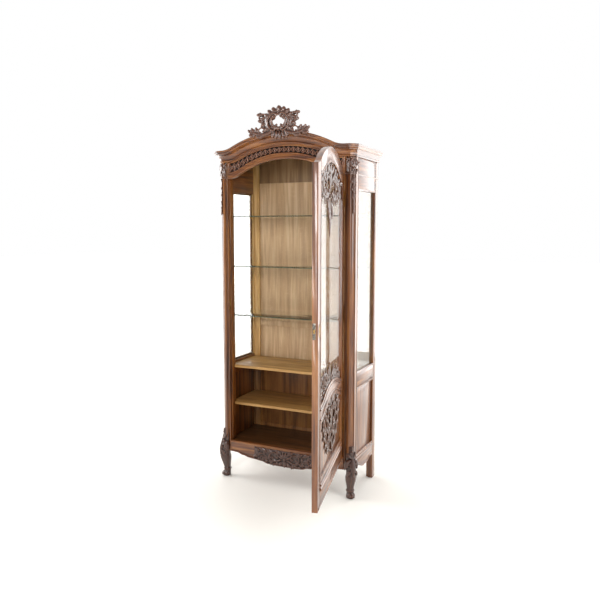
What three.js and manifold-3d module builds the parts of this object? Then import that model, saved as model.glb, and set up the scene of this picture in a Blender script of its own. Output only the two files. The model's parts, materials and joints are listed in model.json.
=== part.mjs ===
// A tall oak china cabinet with one arched, glazed door hung on the right-hand post.
// Millimetres. X runs to the right, Y to the back, Z up from the floor. Every piece is drawn in the
// cabinet's frame, where y = 0 is the front face of the posts and x = 0 the middle of the front.
// The door's pieces are drawn shut, and the door is then turned open about its hinge pins.
import * as THREE from 'three';
import { mergeVertices } from 'three/addons/utils/BufferGeometryUtils.js';
import Module from 'manifold-3d';

const wasm = await Module();
wasm.setup();

// Driving dimensions
const GAP = 0.3; // between pieces that touch
const CASE_HALF = 462; // half the width over the posts
const CASE_DEPTH = 430;
const POST_TOP = 2118;
const POST_WIDTH = 62;
const POST_DEPTH = 66;
const POST_CANT = 26; // the cut-off outer corner of a front post
const STOP_DEPTH = 4; // the door stop worked in the left post
const KNEE_TOP = 335; // where a front post starts to swell into its leg
const SIDE_OUTER = 458;
const SIDE_INNER = 430;
const BACK_POST_INNER = 392;
const BACK_POST_FRONT = 382;
const BACK_FRAME_FRONT = 396;
const BACK_LEG_INNER = 412;
const GROOVE = 8; // depth of the grooves that hold glass and panels
const GLASS = 3;
const SIDE_PANE = 444; // middle of the side glass and panels
const PANEL = 12;
const FLOOR_TOP = 250;
const APRON_TOP = 252;
const ARCH_SPRING = 1962; // the opening's arch at its two ends
const ARCH_RISE = 113;
const ARCH_CROWN = 620; // radius of the arch's middle stretch
const CORNICE_BOTTOM = 2067;
const CORNICE_HEIGHT = 70;
const CORNICE_RISE = 98;
const CORNICE_HALF_SPAN = 410;
const CORNICE_CROWN = 740;
const CORNICE_FRONT = 60; // how far it stands out in front
const CORNICE_SIDE = 28; // and at the sides
const CREST_TOP = 2380;
const DOOR_GAP = 3;
const DOOR_FRONT = -10; // the door's face stands out in front of the posts' face
const DOOR_THICKNESS = 30;
const DOOR_BOTTOM = 255;
const STILE_WIDTH = 66;
const REBATE = 9; // how far glass and panel reach into the door's frame
const DOOR_OPEN = THREE.MathUtils.degToRad(102.7);
const PIN_X = 398.4;
const PIN_Y = -7;
const PIN_RADIUS = 3;
const BARREL_RADIUS = 6;
const BOLT_HEIGHT = 1160;
const BOLT_Y = DOOR_FRONT + 20; // middle of the lock in the door's thickness
const HINGE_HEIGHTS = { lower: 420, middle: 1100, upper: 1780 };
const WOOD_SHELVES = { middle: 755, lower: 505 };
const WOOD_SHELF = 18;
const GLASS_SHELVES = { upper: 1732, centre: 1410, lower: 1088 };
const GLASS_SHELF = 6;

const OPENING_HALF = CASE_HALF - POST_WIDTH;
const DOOR_BACK = DOOR_FRONT + DOOR_THICKNESS;
const DOOR_RIGHT = OPENING_HALF - DOOR_GAP - 0.2;
const DOOR_LEFT = -OPENING_HALF + DOOR_GAP;
const STILE_RIGHT = DOOR_RIGHT - STILE_WIDTH;
const STILE_LEFT = DOOR_LEFT + STILE_WIDTH;
const around = (middle, half) => [middle - half, middle + half];
const lockZ = (half) => around(BOLT_HEIGHT, half);

const finish = (color, roughness, metalness = 0) =>
  new THREE.MeshStandardMaterial({ color, roughness, metalness });
const oak = finish(0x5a3018, 0.45);
const carvedOak = finish(0x43261a, 0.4);
const insideOak = finish(0x8a5a30, 0.6);
const glass = finish(0xdfe9e6, 0.05);
const brass = finish(0xa5813f, 0.35, 1);
const steel = finish(0x77746e, 0.4, 1);

// Solids

// Merges the shared corners of a geometry and turns its faces outwards.
function closed(geometry) {
  const bare = new THREE.BufferGeometry();
  bare.setAttribute('position', geometry.getAttribute('position').clone());
  if (geometry.index) bare.setIndex(geometry.index.clone());
  const merged = mergeVertices(bare, 1e-3);
  const place = merged.getAttribute('position');
  const index = merged.index.array;
  const corners = [new THREE.Vector3(), new THREE.Vector3(), new THREE.Vector3()];
  let volume = 0;
  for (let i = 0; i < index.length; i += 3) {
    corners.forEach((corner, k) => corner.fromBufferAttribute(place, index[i + k]));
    volume += corners[0].dot(corners[1].clone().cross(corners[2]));
  }
  if (volume < 0) {
    for (let i = 0; i < index.length; i += 3) {
      [index[i + 1], index[i + 2]] = [index[i + 2], index[i + 1]];
    }
  }
  return merged;
}

function toManifold(geometry) {
  const solid = closed(geometry);
  const vertProperties = new Float32Array(solid.getAttribute('position').array);
  const triVerts = new Uint32Array(solid.index.array);
  return new wasm.Manifold(new wasm.Mesh({ numProp: 3, vertProperties, triVerts }));
}

function fromManifold(manifold) {
  const mesh = manifold.getMesh();
  const geometry = new THREE.BufferGeometry();
  geometry.setAttribute('position', new THREE.BufferAttribute(mesh.vertProperties, 3));
  geometry.setIndex(new THREE.BufferAttribute(mesh.triVerts, 1));
  return geometry;
}

function cut(geometry, ...tools) {
  return fromManifold(tools.reduce((rest, tool) => rest.subtract(toManifold(tool)), toManifold(geometry)));
}

function join(geometry, ...others) {
  return fromManifold(others.reduce((sum, other) => sum.add(toManifold(other)), toManifold(geometry)));
}

function block([x0, x1], [y0, y1], [z0, z1]) {
  const geometry = new THREE.BoxGeometry(x1 - x0, y1 - y0, z1 - z0);
  return geometry.translate((x0 + x1) / 2, (y0 + y1) / 2, (z0 + z1) / 2);
}

function toShape(outline, holes = []) {
  const shape = new THREE.Shape(outline.map(([a, b]) => new THREE.Vector2(a, b)));
  shape.holes = holes.map((hole) => new THREE.Path(hole.map(([a, b]) => new THREE.Vector2(a, b))));
  return shape;
}

function extruded(outline, depth, holes) {
  return new THREE.ExtrudeGeometry(toShape(outline, holes), { depth, bevelEnabled: false });
}

// A board whose outline is drawn from the front, as x and z.
function frontBoard(outline, [y0, y1], holes) {
  return extruded(outline, y1 - y0, holes).rotateX(Math.PI / 2).translate(0, y1, 0);
}

// A board whose outline is drawn from the side, as y and z.
function sideBoard(outline, [x0, x1]) {
  const turn = new THREE.Matrix4().makeBasis(
    new THREE.Vector3(0, 1, 0),
    new THREE.Vector3(0, 0, 1),
    new THREE.Vector3(1, 0, 0),
  );
  return extruded(outline, x1 - x0).applyMatrix4(turn).translate(x0, 0, 0);
}

// A board or post whose outline is drawn from above, as x and y.
function planBoard(outline, [z0, z1]) {
  return extruded(outline, z1 - z0).translate(0, 0, z0);
}

// A solid through rings with the same number of corners; capOutline is the ring's own flat outline.
function lofted(rings, capOutline) {
  const count = rings[0].length;
  const positions = rings.flat(2);
  const index = [];
  for (let r = 0; r + 1 < rings.length; r += 1) {
    for (let i = 0; i < count; i += 1) {
      const a = r * count + i;
      const b = r * count + ((i + 1) % count);
      index.push(a, b, b + count, a, b + count, a + count);
    }
  }
  const flat = capOutline.map(([a, b]) => new THREE.Vector2(a, b));
  const last = (rings.length - 1) * count;
  const clockwise = THREE.ShapeUtils.isClockWise(flat);
  THREE.ShapeUtils.triangulateShape(flat, []).forEach(([a, b, c]) => {
    const [p, q] = clockwise ? [c, b] : [b, c];
    index.push(a, q, p, last + a, last + p, last + q);
  });
  const geometry = new THREE.BufferGeometry();
  geometry.setAttribute('position', new THREE.Float32BufferAttribute(positions, 3));
  geometry.setIndex(index);
  return geometry;
}

function mirrored(geometry) {
  return closed(geometry.clone().scale(-1, 1, 1));
}

function turned(profile, [x, y], sides = 16) {
  const points = profile.map(([radius, height]) => new THREE.Vector2(radius, height));
  return new THREE.LatheGeometry(points, sides).rotateX(Math.PI / 2).translate(x, y, 0);
}

// The height of a camel-back curve over its flat ends: round in the middle and hollow at both ends.
function camel(x, halfSpan, rise, crownRadius) {
  const both = (halfSpan ** 2 / rise + rise) / 2;
  const endRadius = both - crownRadius;
  const turn = (halfSpan * crownRadius) / both;
  const from = Math.abs(x);
  if (from >= halfSpan) return 0;
  if (from <= turn) return rise - crownRadius + Math.sqrt(crownRadius ** 2 - from ** 2);
  return endRadius - Math.sqrt(endRadius ** 2 - (halfSpan - from) ** 2);
}

function steps(from, to, count) {
  return Array.from({ length: count + 1 }, (_, i) => from + ((to - from) * i) / count);
}

// Two curves over the same x values, joined into one outline.
function between(xs, lower, upper) {
  return [...xs.map((x) => [x, lower(x)]), ...[...xs].reverse().map((x) => [x, upper(x)])];
}

const cabinet = new THREE.Group();
const door = new THREE.Group();
door.position.set(PIN_X, PIN_Y, 0);
door.rotation.z = DOOR_OPEN;
cabinet.add(door);

function place(name, geometry, material) {
  const mesh = new THREE.Mesh(closed(geometry), material);
  mesh.name = name;
  cabinet.add(mesh);
}

function placeOnDoor(name, geometry, material) {
  const mesh = new THREE.Mesh(closed(geometry).translate(-PIN_X, -PIN_Y, 0), material);
  mesh.name = name;
  door.add(mesh);
}

function placePair(stem, geometry, material) {
  place(`${stem}_right`, geometry, material);
  place(`${stem}_left`, mirrored(geometry), material);
}

// Front posts, each in one piece with its cabriole leg

const postOutline = [
  [OPENING_HALF, POST_DEPTH],
  [OPENING_HALF, 3],
  [OPENING_HALF + 3, 0],
  [CASE_HALF - POST_CANT, 0],
  [CASE_HALF, POST_CANT],
  [CASE_HALF, POST_DEPTH],
];
const LEG_AXIS = { x: OPENING_HALF + POST_WIDTH / 2, y: POST_DEPTH / 2 };
// Height, how far the leg's middle has moved out along the diagonal, and its radius
const legSections = [
  [0, 12, 24],
  [10, 14, 28],
  [22, 13.5, 27.5],
  [34, 10, 24],
  [50, 9.4, 25],
  [84, 12, 27],
  [116, 15, 36],
  [150, 18, 40],
  [190, 17, 40],
  [214, 14, 37],
  [264, 8.4, 34],
  [300, 5, 31],
  [KNEE_TOP, 3, 27],
];
const legRing = ([z, shift, radius]) =>
  steps(0, 2 * Math.PI, 14)
    .slice(0, -1)
    .map((angle) => [
      LEG_AXIS.x + shift + radius * Math.cos(angle),
      LEG_AXIS.y - shift + radius * Math.sin(angle),
      z,
    ]);
const leg = lofted(legSections.map(legRing), legRing(legSections[0]));
const paneCut = (thickness, z) =>
  block(
    [SIDE_PANE - thickness / 2 - GAP, SIDE_PANE + thickness / 2 + GAP],
    [POST_DEPTH - GROOVE, POST_DEPTH + 1],
    z,
  );
const frontPost = cut(
  join(planBoard(postOutline, [176, POST_TOP]), leg),
  paneCut(GLASS, [760, 1897]),
  paneCut(PANEL, [237, 697]),
);
place('front_post_right', frontPost, oak);
const doorStop = block(
  [-OPENING_HALF - 1, -OPENING_HALF + STOP_DEPTH],
  [DOOR_BACK + 2.5, POST_DEPTH],
  [APRON_TOP + GAP, ARCH_SPRING - GAP],
);
const strikeRecess = block([-OPENING_HALF - 1.8, 0], [BOLT_Y - 6.8, BOLT_Y + 12], lockZ(35.3));
const mortise = block([-OPENING_HALF - 14, 0], around(BOLT_Y, 4.8), lockZ(15));
place('front_post_left', cut(join(mirrored(frontPost), doorStop), strikeRecess, mortise), oak);

// Back posts: an upright with an ear at the side, on a plain square leg

const backPostOutline = [
  [BACK_POST_INNER, BACK_FRAME_FRONT],
  [SIDE_INNER, BACK_FRAME_FRONT],
  [SIDE_INNER, BACK_POST_FRONT],
  [SIDE_OUTER, BACK_POST_FRONT],
  [SIDE_OUTER, CASE_DEPTH],
  [BACK_POST_INNER, CASE_DEPTH],
];
const BACK_PANEL_Y = [408, 418];
const backPanelGroove = (x, z) => block(x, [BACK_PANEL_Y[0] - GAP, BACK_PANEL_Y[1] + GAP], z);
const sidePaneGroove = (thickness, z) =>
  block(
    [SIDE_PANE - thickness / 2 - GAP, SIDE_PANE + thickness / 2 + GAP],
    [BACK_POST_FRONT - 1, BACK_POST_FRONT + GROOVE],
    z,
  );
const BACK_RAILS = { bottom: [180, 272], middle: [973, 1010], top: [1960, POST_TOP] };
const LOWER_BACK = [BACK_RAILS.bottom[1] - GROOVE, BACK_RAILS.middle[0] + GROOVE];
const UPPER_BACK = [BACK_RAILS.middle[1] - GROOVE, BACK_RAILS.top[0] + GROOVE];
const backPost = cut(
  planBoard(backPostOutline, [0, POST_TOP]),
  block([BACK_POST_INNER - 1, BACK_LEG_INNER], [BACK_POST_FRONT, CASE_DEPTH + 1], [-1, 172]),
  sidePaneGroove(GLASS, [760, 1897]),
  sidePaneGroove(PANEL, [237, 697]),
  backPanelGroove([BACK_POST_INNER - 1, BACK_POST_INNER + GROOVE], LOWER_BACK),
  backPanelGroove([BACK_POST_INNER - 1, BACK_POST_INNER + GROOVE], UPPER_BACK),
);
placePair('back_post', backPost, oak);

// Side frames: three rails between the posts, a pane above and a wooden panel below

const SIDE_Y = [POST_DEPTH + GAP, BACK_POST_FRONT - GAP];
const sidePane = (thickness, z) =>
  block(
    [SIDE_PANE - thickness / 2 - GAP, SIDE_PANE + thickness / 2 + GAP],
    [SIDE_Y[0] - 1, SIDE_Y[1] + 1],
    z,
  );
const sideRail = (z) => block([SIDE_INNER, SIDE_OUTER], SIDE_Y, z);
const sideRails = { bottomTop: 247, middle: [686, 770], topBottom: 1887 };
placePair(
  'side_frieze_rail',
  cut(
    sideRail([sideRails.topBottom, POST_TOP]),
    sidePane(GLASS, [sideRails.topBottom - 1, sideRails.topBottom + GROOVE]),
  ),
  oak,
);
placePair(
  'side_middle_rail',
  cut(
    sideRail(sideRails.middle),
    sidePane(PANEL, [sideRails.middle[0] - 1, sideRails.middle[0] + GROOVE]),
    sidePane(GLASS, [sideRails.middle[1] - GROOVE, sideRails.middle[1] + 1]),
  ),
  oak,
);
const sideSkirt = [
  [SIDE_Y[0], 200],
  [104, 190],
  [146, 171],
  [174, 155],
  [208, 146],
  [236, 151],
  [264, 147],
  [295, 153],
  [324, 168],
  [353, 171],
  [SIDE_Y[1], 160],
];
placePair(
  'side_bottom_rail',
  cut(
    sideBoard(
      [...sideSkirt, [SIDE_Y[1], sideRails.bottomTop], [SIDE_Y[0], sideRails.bottomTop]],
      [SIDE_INNER, SIDE_OUTER],
    ),
    sidePane(PANEL, [sideRails.bottomTop - GROOVE, sideRails.bottomTop + 1]),
  ),
  oak,
);
const paneY = [SIDE_Y[0] - GROOVE + GAP, SIDE_Y[1] + GROOVE - GAP];
placePair(
  'side_glass',
  block(
    [SIDE_PANE - GLASS / 2, SIDE_PANE + GLASS / 2],
    paneY,
    [sideRails.middle[1] - GROOVE + GAP, sideRails.topBottom + GROOVE - GAP],
  ),
  glass,
);
placePair(
  'side_panel',
  block(
    [SIDE_PANE - PANEL / 2, SIDE_PANE + PANEL / 2],
    paneY,
    [sideRails.bottomTop - GROOVE + GAP, sideRails.middle[0] + GROOVE - GAP],
  ),
  oak,
);

// Back frame: three rails and two muntins around four panels

const BACK_FRAME_Y = [402, 424];
const MUNTIN = 27;
const railX = [-BACK_POST_INNER + GAP, BACK_POST_INNER - GAP];
const backRail = (z, ...grooves) =>
  grooves.length ? cut(block(railX, BACK_FRAME_Y, z), ...grooves) : block(railX, BACK_FRAME_Y, z);
const widePanel = (z) => backPanelGroove([-CASE_HALF, CASE_HALF], z);
place(
  'back_bottom_rail',
  backRail(BACK_RAILS.bottom, widePanel([LOWER_BACK[0], BACK_RAILS.bottom[1] + 1])),
  insideOak,
);
place(
  'back_middle_rail',
  backRail(
    BACK_RAILS.middle,
    widePanel([BACK_RAILS.middle[0] - 1, LOWER_BACK[1]]),
    widePanel([UPPER_BACK[0], BACK_RAILS.middle[1] + 1]),
  ),
  insideOak,
);
const topRailPanel = widePanel([BACK_RAILS.top[0] - 1, UPPER_BACK[1]]);
place('back_top_rail', backRail(BACK_RAILS.top, topRailPanel), insideOak);
const muntinGrooves = [
  backPanelGroove([-MUNTIN - 1, -MUNTIN + GROOVE], [0, POST_TOP]),
  backPanelGroove([MUNTIN - GROOVE, MUNTIN + 1], [0, POST_TOP]),
];
const backBays = {
  lower: [BACK_RAILS.bottom[1], BACK_RAILS.middle[0]],
  upper: [BACK_RAILS.middle[1], BACK_RAILS.top[0]],
};
for (const [bay, [z0, z1]] of Object.entries(backBays)) {
  const muntin = block([-MUNTIN, MUNTIN], BACK_FRAME_Y, [z0 + GAP, z1 - GAP]);
  place(`back_muntin_${bay}`, cut(muntin, ...muntinGrooves), insideOak);
  placePair(
    `back_panel_${bay}`,
    block(
      [MUNTIN - GROOVE + GAP, BACK_POST_INNER + GROOVE - GAP],
      BACK_PANEL_Y,
      [z0 - GROOVE + GAP, z1 + GROOVE - GAP],
    ),
    insideOak,
  );
}

// Boards inside the case

// Fits between the side frames, with its front corners notched round the posts and,
// at the left, round the door stop.
function insideOutline(front, back, stop = STOP_DEPTH) {
  const left = -OPENING_HALF + stop + GAP;
  const right = OPENING_HALF - GAP;
  const wide = SIDE_INNER - GAP;
  const notch = POST_DEPTH + GAP;
  return [
    [left, front],
    [right, front],
    [right, notch],
    [wide, notch],
    [wide, back],
    [-wide, back],
    [-wide, notch],
    [left, notch],
  ];
}
// The floor lies lower than the foot of the stop, so it keeps its full width.
const floorOutline = insideOutline(28 + GAP, BACK_FRAME_FRONT - GAP, 0);
place('floor_board', planBoard(floorOutline, [230, FLOOR_TOP]), insideOak);
for (const [name, top] of Object.entries(WOOD_SHELVES)) {
  const outline = insideOutline(52, BACK_FRAME_FRONT - GAP);
  place(`${name}_shelf`, planBoard(outline, [top - WOOD_SHELF, top]), insideOak);
}
for (const [name, top] of Object.entries(GLASS_SHELVES)) {
  const outline = insideOutline(54, BACK_POST_FRONT - GAP);
  place(`${name}_glass_shelf`, planBoard(outline, [top - GLASS_SHELF, top]), glass);
}
const FRIEZE_Y = [0, 26];
const roofOutline = [
  [-OPENING_HALF, GAP],
  [-OPENING_HALF, FRIEZE_Y[1] + GAP],
  [OPENING_HALF, FRIEZE_Y[1] + GAP],
  [OPENING_HALF, GAP],
  [CASE_HALF - POST_CANT, GAP],
  [CASE_HALF - GAP, POST_CANT],
  [CASE_HALF - GAP, CASE_DEPTH],
  [-CASE_HALF + GAP, CASE_DEPTH],
  [-CASE_HALF + GAP, POST_CANT],
  [-CASE_HALF + POST_CANT, GAP],
];
place('roof_board', planBoard(roofOutline, [POST_TOP + GAP, POST_TOP + 18]), insideOak);

// Apron between the front legs, with its carving

const apronHalf = [
  [OPENING_HALF - GAP, 180],
  [352, 177],
  [306, 164],
  [253, 153],
  [223, 151],
  [163, 145],
  [119, 133],
  [60, 130],
];
const apronOutline = [
  ...apronHalf,
  ...[...apronHalf].reverse().map(([x, z]) => [-x, z]),
  [-OPENING_HALF + GAP, APRON_TOP],
  [OPENING_HALF - GAP, APRON_TOP],
];
place('apron', frontBoard(apronOutline, [2, 28]), oak);
const apronCarvingHalf = [
  [0, 124],
  [60, 124],
  [119, 129],
  [163, 141],
  [214, 160],
  [224, 190],
  [205, 222],
  [120, 236],
  [0, 236],
];
const wholeFrom = (half) => [...half, ...half.slice(1, -1).reverse().map(([x, z]) => [-x, z])];
place('apron_carving', frontBoard(wholeFrom(apronCarvingHalf), [-12, 2 - GAP]), carvedOak);

// Frieze over the opening: an arched board with a band of lattice let into it

const archXs = steps(-(OPENING_HALF - GAP), OPENING_HALF - GAP, 26);
const openingArch = (x) => ARCH_SPRING + camel(x, OPENING_HALF, ARCH_RISE, ARCH_CROWN);
const corniceLift = (x) => camel(x, CORNICE_HALF_SPAN, CORNICE_RISE, CORNICE_CROWN);
const friezeTop = (x) => POST_TOP + 18 + corniceLift(x);
const latticeXs = steps(-386, 386, 24);
const latticeLow = (x) => 2003 + camel(x, OPENING_HALF, 108, ARCH_CROWN);
const latticeHigh = (x) => 2060 + camel(x, OPENING_HALF, 90, CORNICE_CROWN);
const LATTICE_DEPTH = 9;
const inset = (curve, by) => (x) => curve(x) + by;
const latticeRecess = frontBoard(between(latticeXs, latticeLow, latticeHigh), [-1, LATTICE_DEPTH]);
place(
  'arched_frieze',
  cut(frontBoard(between(archXs, openingArch, friezeTop), FRIEZE_Y), latticeRecess),
  oak,
);
place(
  'frieze_lattice',
  frontBoard(
    between(
      latticeXs.map((x) => x * (1 - GAP / 386)),
      inset(latticeLow, GAP),
      inset(latticeHigh, -GAP),
    ),
    [0, LATTICE_DEPTH - GAP],
  ),
  carvedOak,
);

// Cornice: one moulding swept round the front and both sides, rising over the middle
// The moulding as its reach, from 0 at the frieze to 1 at the lip, and its height

const moulding = [
  [0, 0],
  [0.22, 0],
  [0.26, 10],
  [0.34, 14],
  [0.42, 28],
  [0.6, 42],
  [0.84, 50],
  [0.86, 55],
  [1, 58],
  [1, CORNICE_HEIGHT],
  [0, CORNICE_HEIGHT],
];
const corniceRing = ([x, y, dx, dy, lift]) =>
  moulding.map(([reach, height]) => [x + reach * dx, y + reach * dy, CORNICE_BOTTOM + height + lift]);
const sideStart = [CASE_HALF + GAP, POST_CANT - 0.1, CORNICE_SIDE, -42, 0];
const frontStart = [CASE_HALF - POST_CANT + 0.1, -GAP, 7, -CORNICE_FRONT + GAP, 0];
const flipped = ([x, y, dx, dy, lift]) => [-x, y, -dx, dy, lift];
const corniceFrontStations = [
  sideStart,
  frontStart,
  ...steps(CORNICE_HALF_SPAN, -CORNICE_HALF_SPAN, 28).map((x) => [
    x,
    -GAP,
    (7 * x) / CORNICE_HALF_SPAN,
    -CORNICE_FRONT + GAP,
    corniceLift(x),
  ]),
  flipped(frontStart),
  flipped(sideStart),
];
place('cornice_front', lofted(corniceFrontStations.map(corniceRing), moulding), oak);
const returnStart = [sideStart[0], sideStart[1] + 0.5, sideStart[2], sideStart[3], 0];
const returnEnd = [sideStart[0], CASE_DEPTH, sideStart[2], 0, 0];
placePair('cornice_return', lofted([returnStart, returnEnd].map(corniceRing), moulding), oak);

// Carvings on the front: the crest on the cornice and a drop on each post's cut-off corner

const CREST_Y = [-88, -CORNICE_FRONT - GAP];
const crestHalf = [
  [0, 2176],
  [48, 2180],
  [66, 2196],
  [96, 2206],
  [150, 2214],
  [202, 2226],
  [202, 2246],
  [176, 2258],
  [146, 2256],
  [122, 2266],
  [140, 2284],
  [134, 2306],
  [142, 2326],
  [112, 2334],
  [90, 2352],
  [60, 2368],
  [26, 2378],
  [0, CREST_TOP],
];
const crestHole = steps(0, 2 * Math.PI, 14)
  .slice(0, -1)
  .map((angle) => [3 + 40 * Math.cos(angle), 2290 + 32 * Math.sin(angle)]);
place('crest', frontBoard(wholeFrom(crestHalf), CREST_Y, [crestHole]), carvedOak);
const cantMiddle = { x: CASE_HALF - POST_CANT / 2, y: POST_CANT / 2 };
const postCarvingHalf = [
  [0, 1738],
  [7, 1780],
  [9, 1840],
  [14, 1880],
  [17, 1930],
  [15, 1958],
  [19, 1975],
  [20, 2030],
  [17, 2064],
  [0, 2066],
];
placePair(
  'post_carving',
  frontBoard(wholeFrom(postCarvingHalf), [-14, -GAP])
    .rotateZ(Math.PI / 4)
    .translate(cantMiddle.x, cantMiddle.y, 0),
  carvedOak,
);

// Door frame

const doorHalf = OPENING_HALF - DOOR_GAP;
const doorTop = (x) => ARCH_SPRING - DOOR_GAP + camel(x, doorHalf, ARCH_RISE, ARCH_CROWN);
const innerHalf = STILE_RIGHT;
const glassTop = (x) => 1925 + camel(x, innerHalf + 1, 80, 520);
const middleRailTop = (x) => 765 + camel(x, innerHalf + 1, 54, 700);
const middleRailBottom = (x) => 697 + camel(x, innerHalf + 1, 62, 620);
const BOTTOM_RAIL_TOP = 388;
const DOOR_Y = [DOOR_FRONT, DOOR_BACK];
const DOOR_GLASS_Y = [DOOR_FRONT + 16, DOOR_FRONT + 16 + GLASS];
const DOOR_PANEL_Y = [DOOR_FRONT + 9, DOOR_FRONT + 19];
const frameXs = steps(STILE_LEFT + GAP, STILE_RIGHT - GAP, 22);
const paneXs = steps(STILE_LEFT - REBATE, STILE_RIGHT + REBATE, 22);
// Glass and panel, each grown by some amount so that it can also cut its own seat.
const doorPane = (low, high, grow, y) =>
  frontBoard(
    between(
      paneXs.map((x) => x + Math.sign(x) * grow),
      inset(low, -REBATE - grow),
      inset(high, REBATE + grow),
    ),
    y,
  );
const glassSeat = doorPane(middleRailTop, glassTop, GAP, [DOOR_GLASS_Y[0] - GAP, DOOR_BACK + 1]);
const panelSeat = doorPane(
  () => BOTTOM_RAIL_TOP,
  middleRailBottom,
  GAP,
  [DOOR_PANEL_Y[0] - GAP, DOOR_PANEL_Y[1] + GAP],
);
const stile = (x0, x1) => {
  const xs = steps(x0, x1, 4);
  return cut(frontBoard(between(xs, () => DOOR_BOTTOM, doorTop), DOOR_Y), glassSeat, panelSeat);
};
// The hinge barrels lie in hollows worked along the stile's front corner.
const barrelHollows = Object.values(HINGE_HEIGHTS).map((z) => {
  const radius = BARREL_RADIUS + 0.5;
  return turned(
    [
      [0, z - 8],
      [radius, z - 8],
      [radius, z + 98],
      [0, z + 98],
    ],
    [PIN_X, PIN_Y],
  );
});
placeOnDoor('door_hinge_stile', cut(stile(STILE_RIGHT, DOOR_RIGHT), ...barrelHollows), oak);
const lockPocket = block([DOOR_LEFT - 1, -345], around(BOLT_Y, 8), lockZ(40));
placeOnDoor('door_lock_stile', cut(stile(DOOR_LEFT, STILE_LEFT), lockPocket), oak);
placeOnDoor(
  'door_arched_top_rail',
  cut(frontBoard(between(frameXs, glassTop, doorTop), DOOR_Y), glassSeat),
  oak,
);
placeOnDoor(
  'door_middle_rail',
  cut(frontBoard(between(frameXs, middleRailBottom, middleRailTop), DOOR_Y), glassSeat, panelSeat),
  oak,
);
placeOnDoor(
  'door_bottom_rail',
  cut(block([frameXs[0], frameXs.at(-1)], DOOR_Y, [DOOR_BOTTOM, BOTTOM_RAIL_TOP]), panelSeat),
  oak,
);
placeOnDoor('door_glass', doorPane(middleRailTop, glassTop, 0, DOOR_GLASS_Y), glass);
placeOnDoor('door_panel', doorPane(() => BOTTOM_RAIL_TOP, middleRailBottom, 0, DOOR_PANEL_Y), oak);

// Door carvings, set between the stiles in front of the glass and on the panel

const CARVING_Y = [DOOR_FRONT + 4, DOOR_GLASS_Y[0] - GAP];
const CARVING_CLEAR = 2;
const headXs = steps(-innerHalf + 1, innerHalf - 1, 16);
const headCarving = [
  ...[...headXs].reverse().map((x) => [x, glassTop(x) - CARVING_CLEAR]),
  [-324, 1850],
  [-296, 1800],
  [-236, 1764],
  [-150, 1752],
  [-72, 1732],
  [-40, 1676],
  [-12, 1608],
  [16, 1672],
  [56, 1742],
  [150, 1764],
  [236, 1790],
  [300, 1822],
  [324, 1862],
];
placeOnDoor('door_head_carving', frontBoard(headCarving, CARVING_Y), carvedOak);
const waistXs = steps(-innerHalf + 1, innerHalf - 1, 12);
const waistCarving = [
  ...waistXs.map((x) => [x, middleRailTop(x) + CARVING_CLEAR]),
  [318, 838],
  [236, 862],
  [150, 884],
  [60, 908],
  [-50, 924],
  [-160, 934],
  [-262, 936],
  [-318, 906],
];
placeOnDoor('door_waist_carving', frontBoard(waistCarving, CARVING_Y), carvedOak);
const panelCarving = [
  [26, 404],
  [110, 444],
  [172, 486],
  [232, 562],
  [266, 640],
  [250, 700],
  [180, 728],
  [60, 742],
  [-60, 746],
  [-176, 730],
  [-250, 690],
  [-256, 636],
  [-222, 566],
  [-160, 492],
  [-60, 438],
];
placeOnDoor(
  'door_panel_carving',
  frontBoard(panelCarving, [DOOR_PANEL_Y[0] - 10, DOOR_PANEL_Y[0] - GAP]),
  carvedOak,
);

// Hinges: the lower half, with its pin, on the post and the upper half on the door

const KNUCKLE = 45;
const LEAF_REACH = 18;
const roundCap = [
  [4, 3],
  [2, 6],
  [0, 7],
];
for (const [name, z] of Object.entries(HINGE_HEIGHTS)) {
  const lowerBarrel = turned(
    [
      [0, z - 7],
      [4, z - 5],
      [BARREL_RADIUS, z],
      [BARREL_RADIUS, z + KNUCKLE],
      [PIN_RADIUS, z + KNUCKLE],
      [PIN_RADIUS, z + 2 * KNUCKLE - 8],
      [0, z + 2 * KNUCKLE - 6],
    ],
    [PIN_X, PIN_Y],
  );
  const postLeaf = block([397.7, OPENING_HALF - GAP], [PIN_Y + 2, LEAF_REACH], [z, z + KNUCKLE - 1]);
  place(`hinge_${name}_post_half`, join(lowerBarrel, postLeaf), brass);
  const capFoot = z + 2 * KNUCKLE;
  const upperBarrel = turned(
    [
      [PIN_RADIUS + 0.4, z + KNUCKLE + GAP],
      [BARREL_RADIUS, z + KNUCKLE + GAP],
      [BARREL_RADIUS, capFoot],
      ...roundCap.map(([radius, height]) => [radius, capFoot + height]),
      [0, z + 2 * KNUCKLE - 4],
      [PIN_RADIUS + 0.4, z + 2 * KNUCKLE - 4],
      [PIN_RADIUS + 0.4, z + KNUCKLE + GAP],
    ],
    [PIN_X, PIN_Y],
  );
  const leafX = [DOOR_RIGHT + GAP, PIN_X + 0.7];
  const doorLeaf = block(leafX, [PIN_Y + 4, LEAF_REACH], [z + KNUCKLE + 1, capFoot]);
  placeOnDoor(`hinge_${name}_door_half`, join(upperBarrel, doorLeaf), brass);
}

// Lock: a case let into the edge of the lock stile, its bolt, and the plates that show

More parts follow.
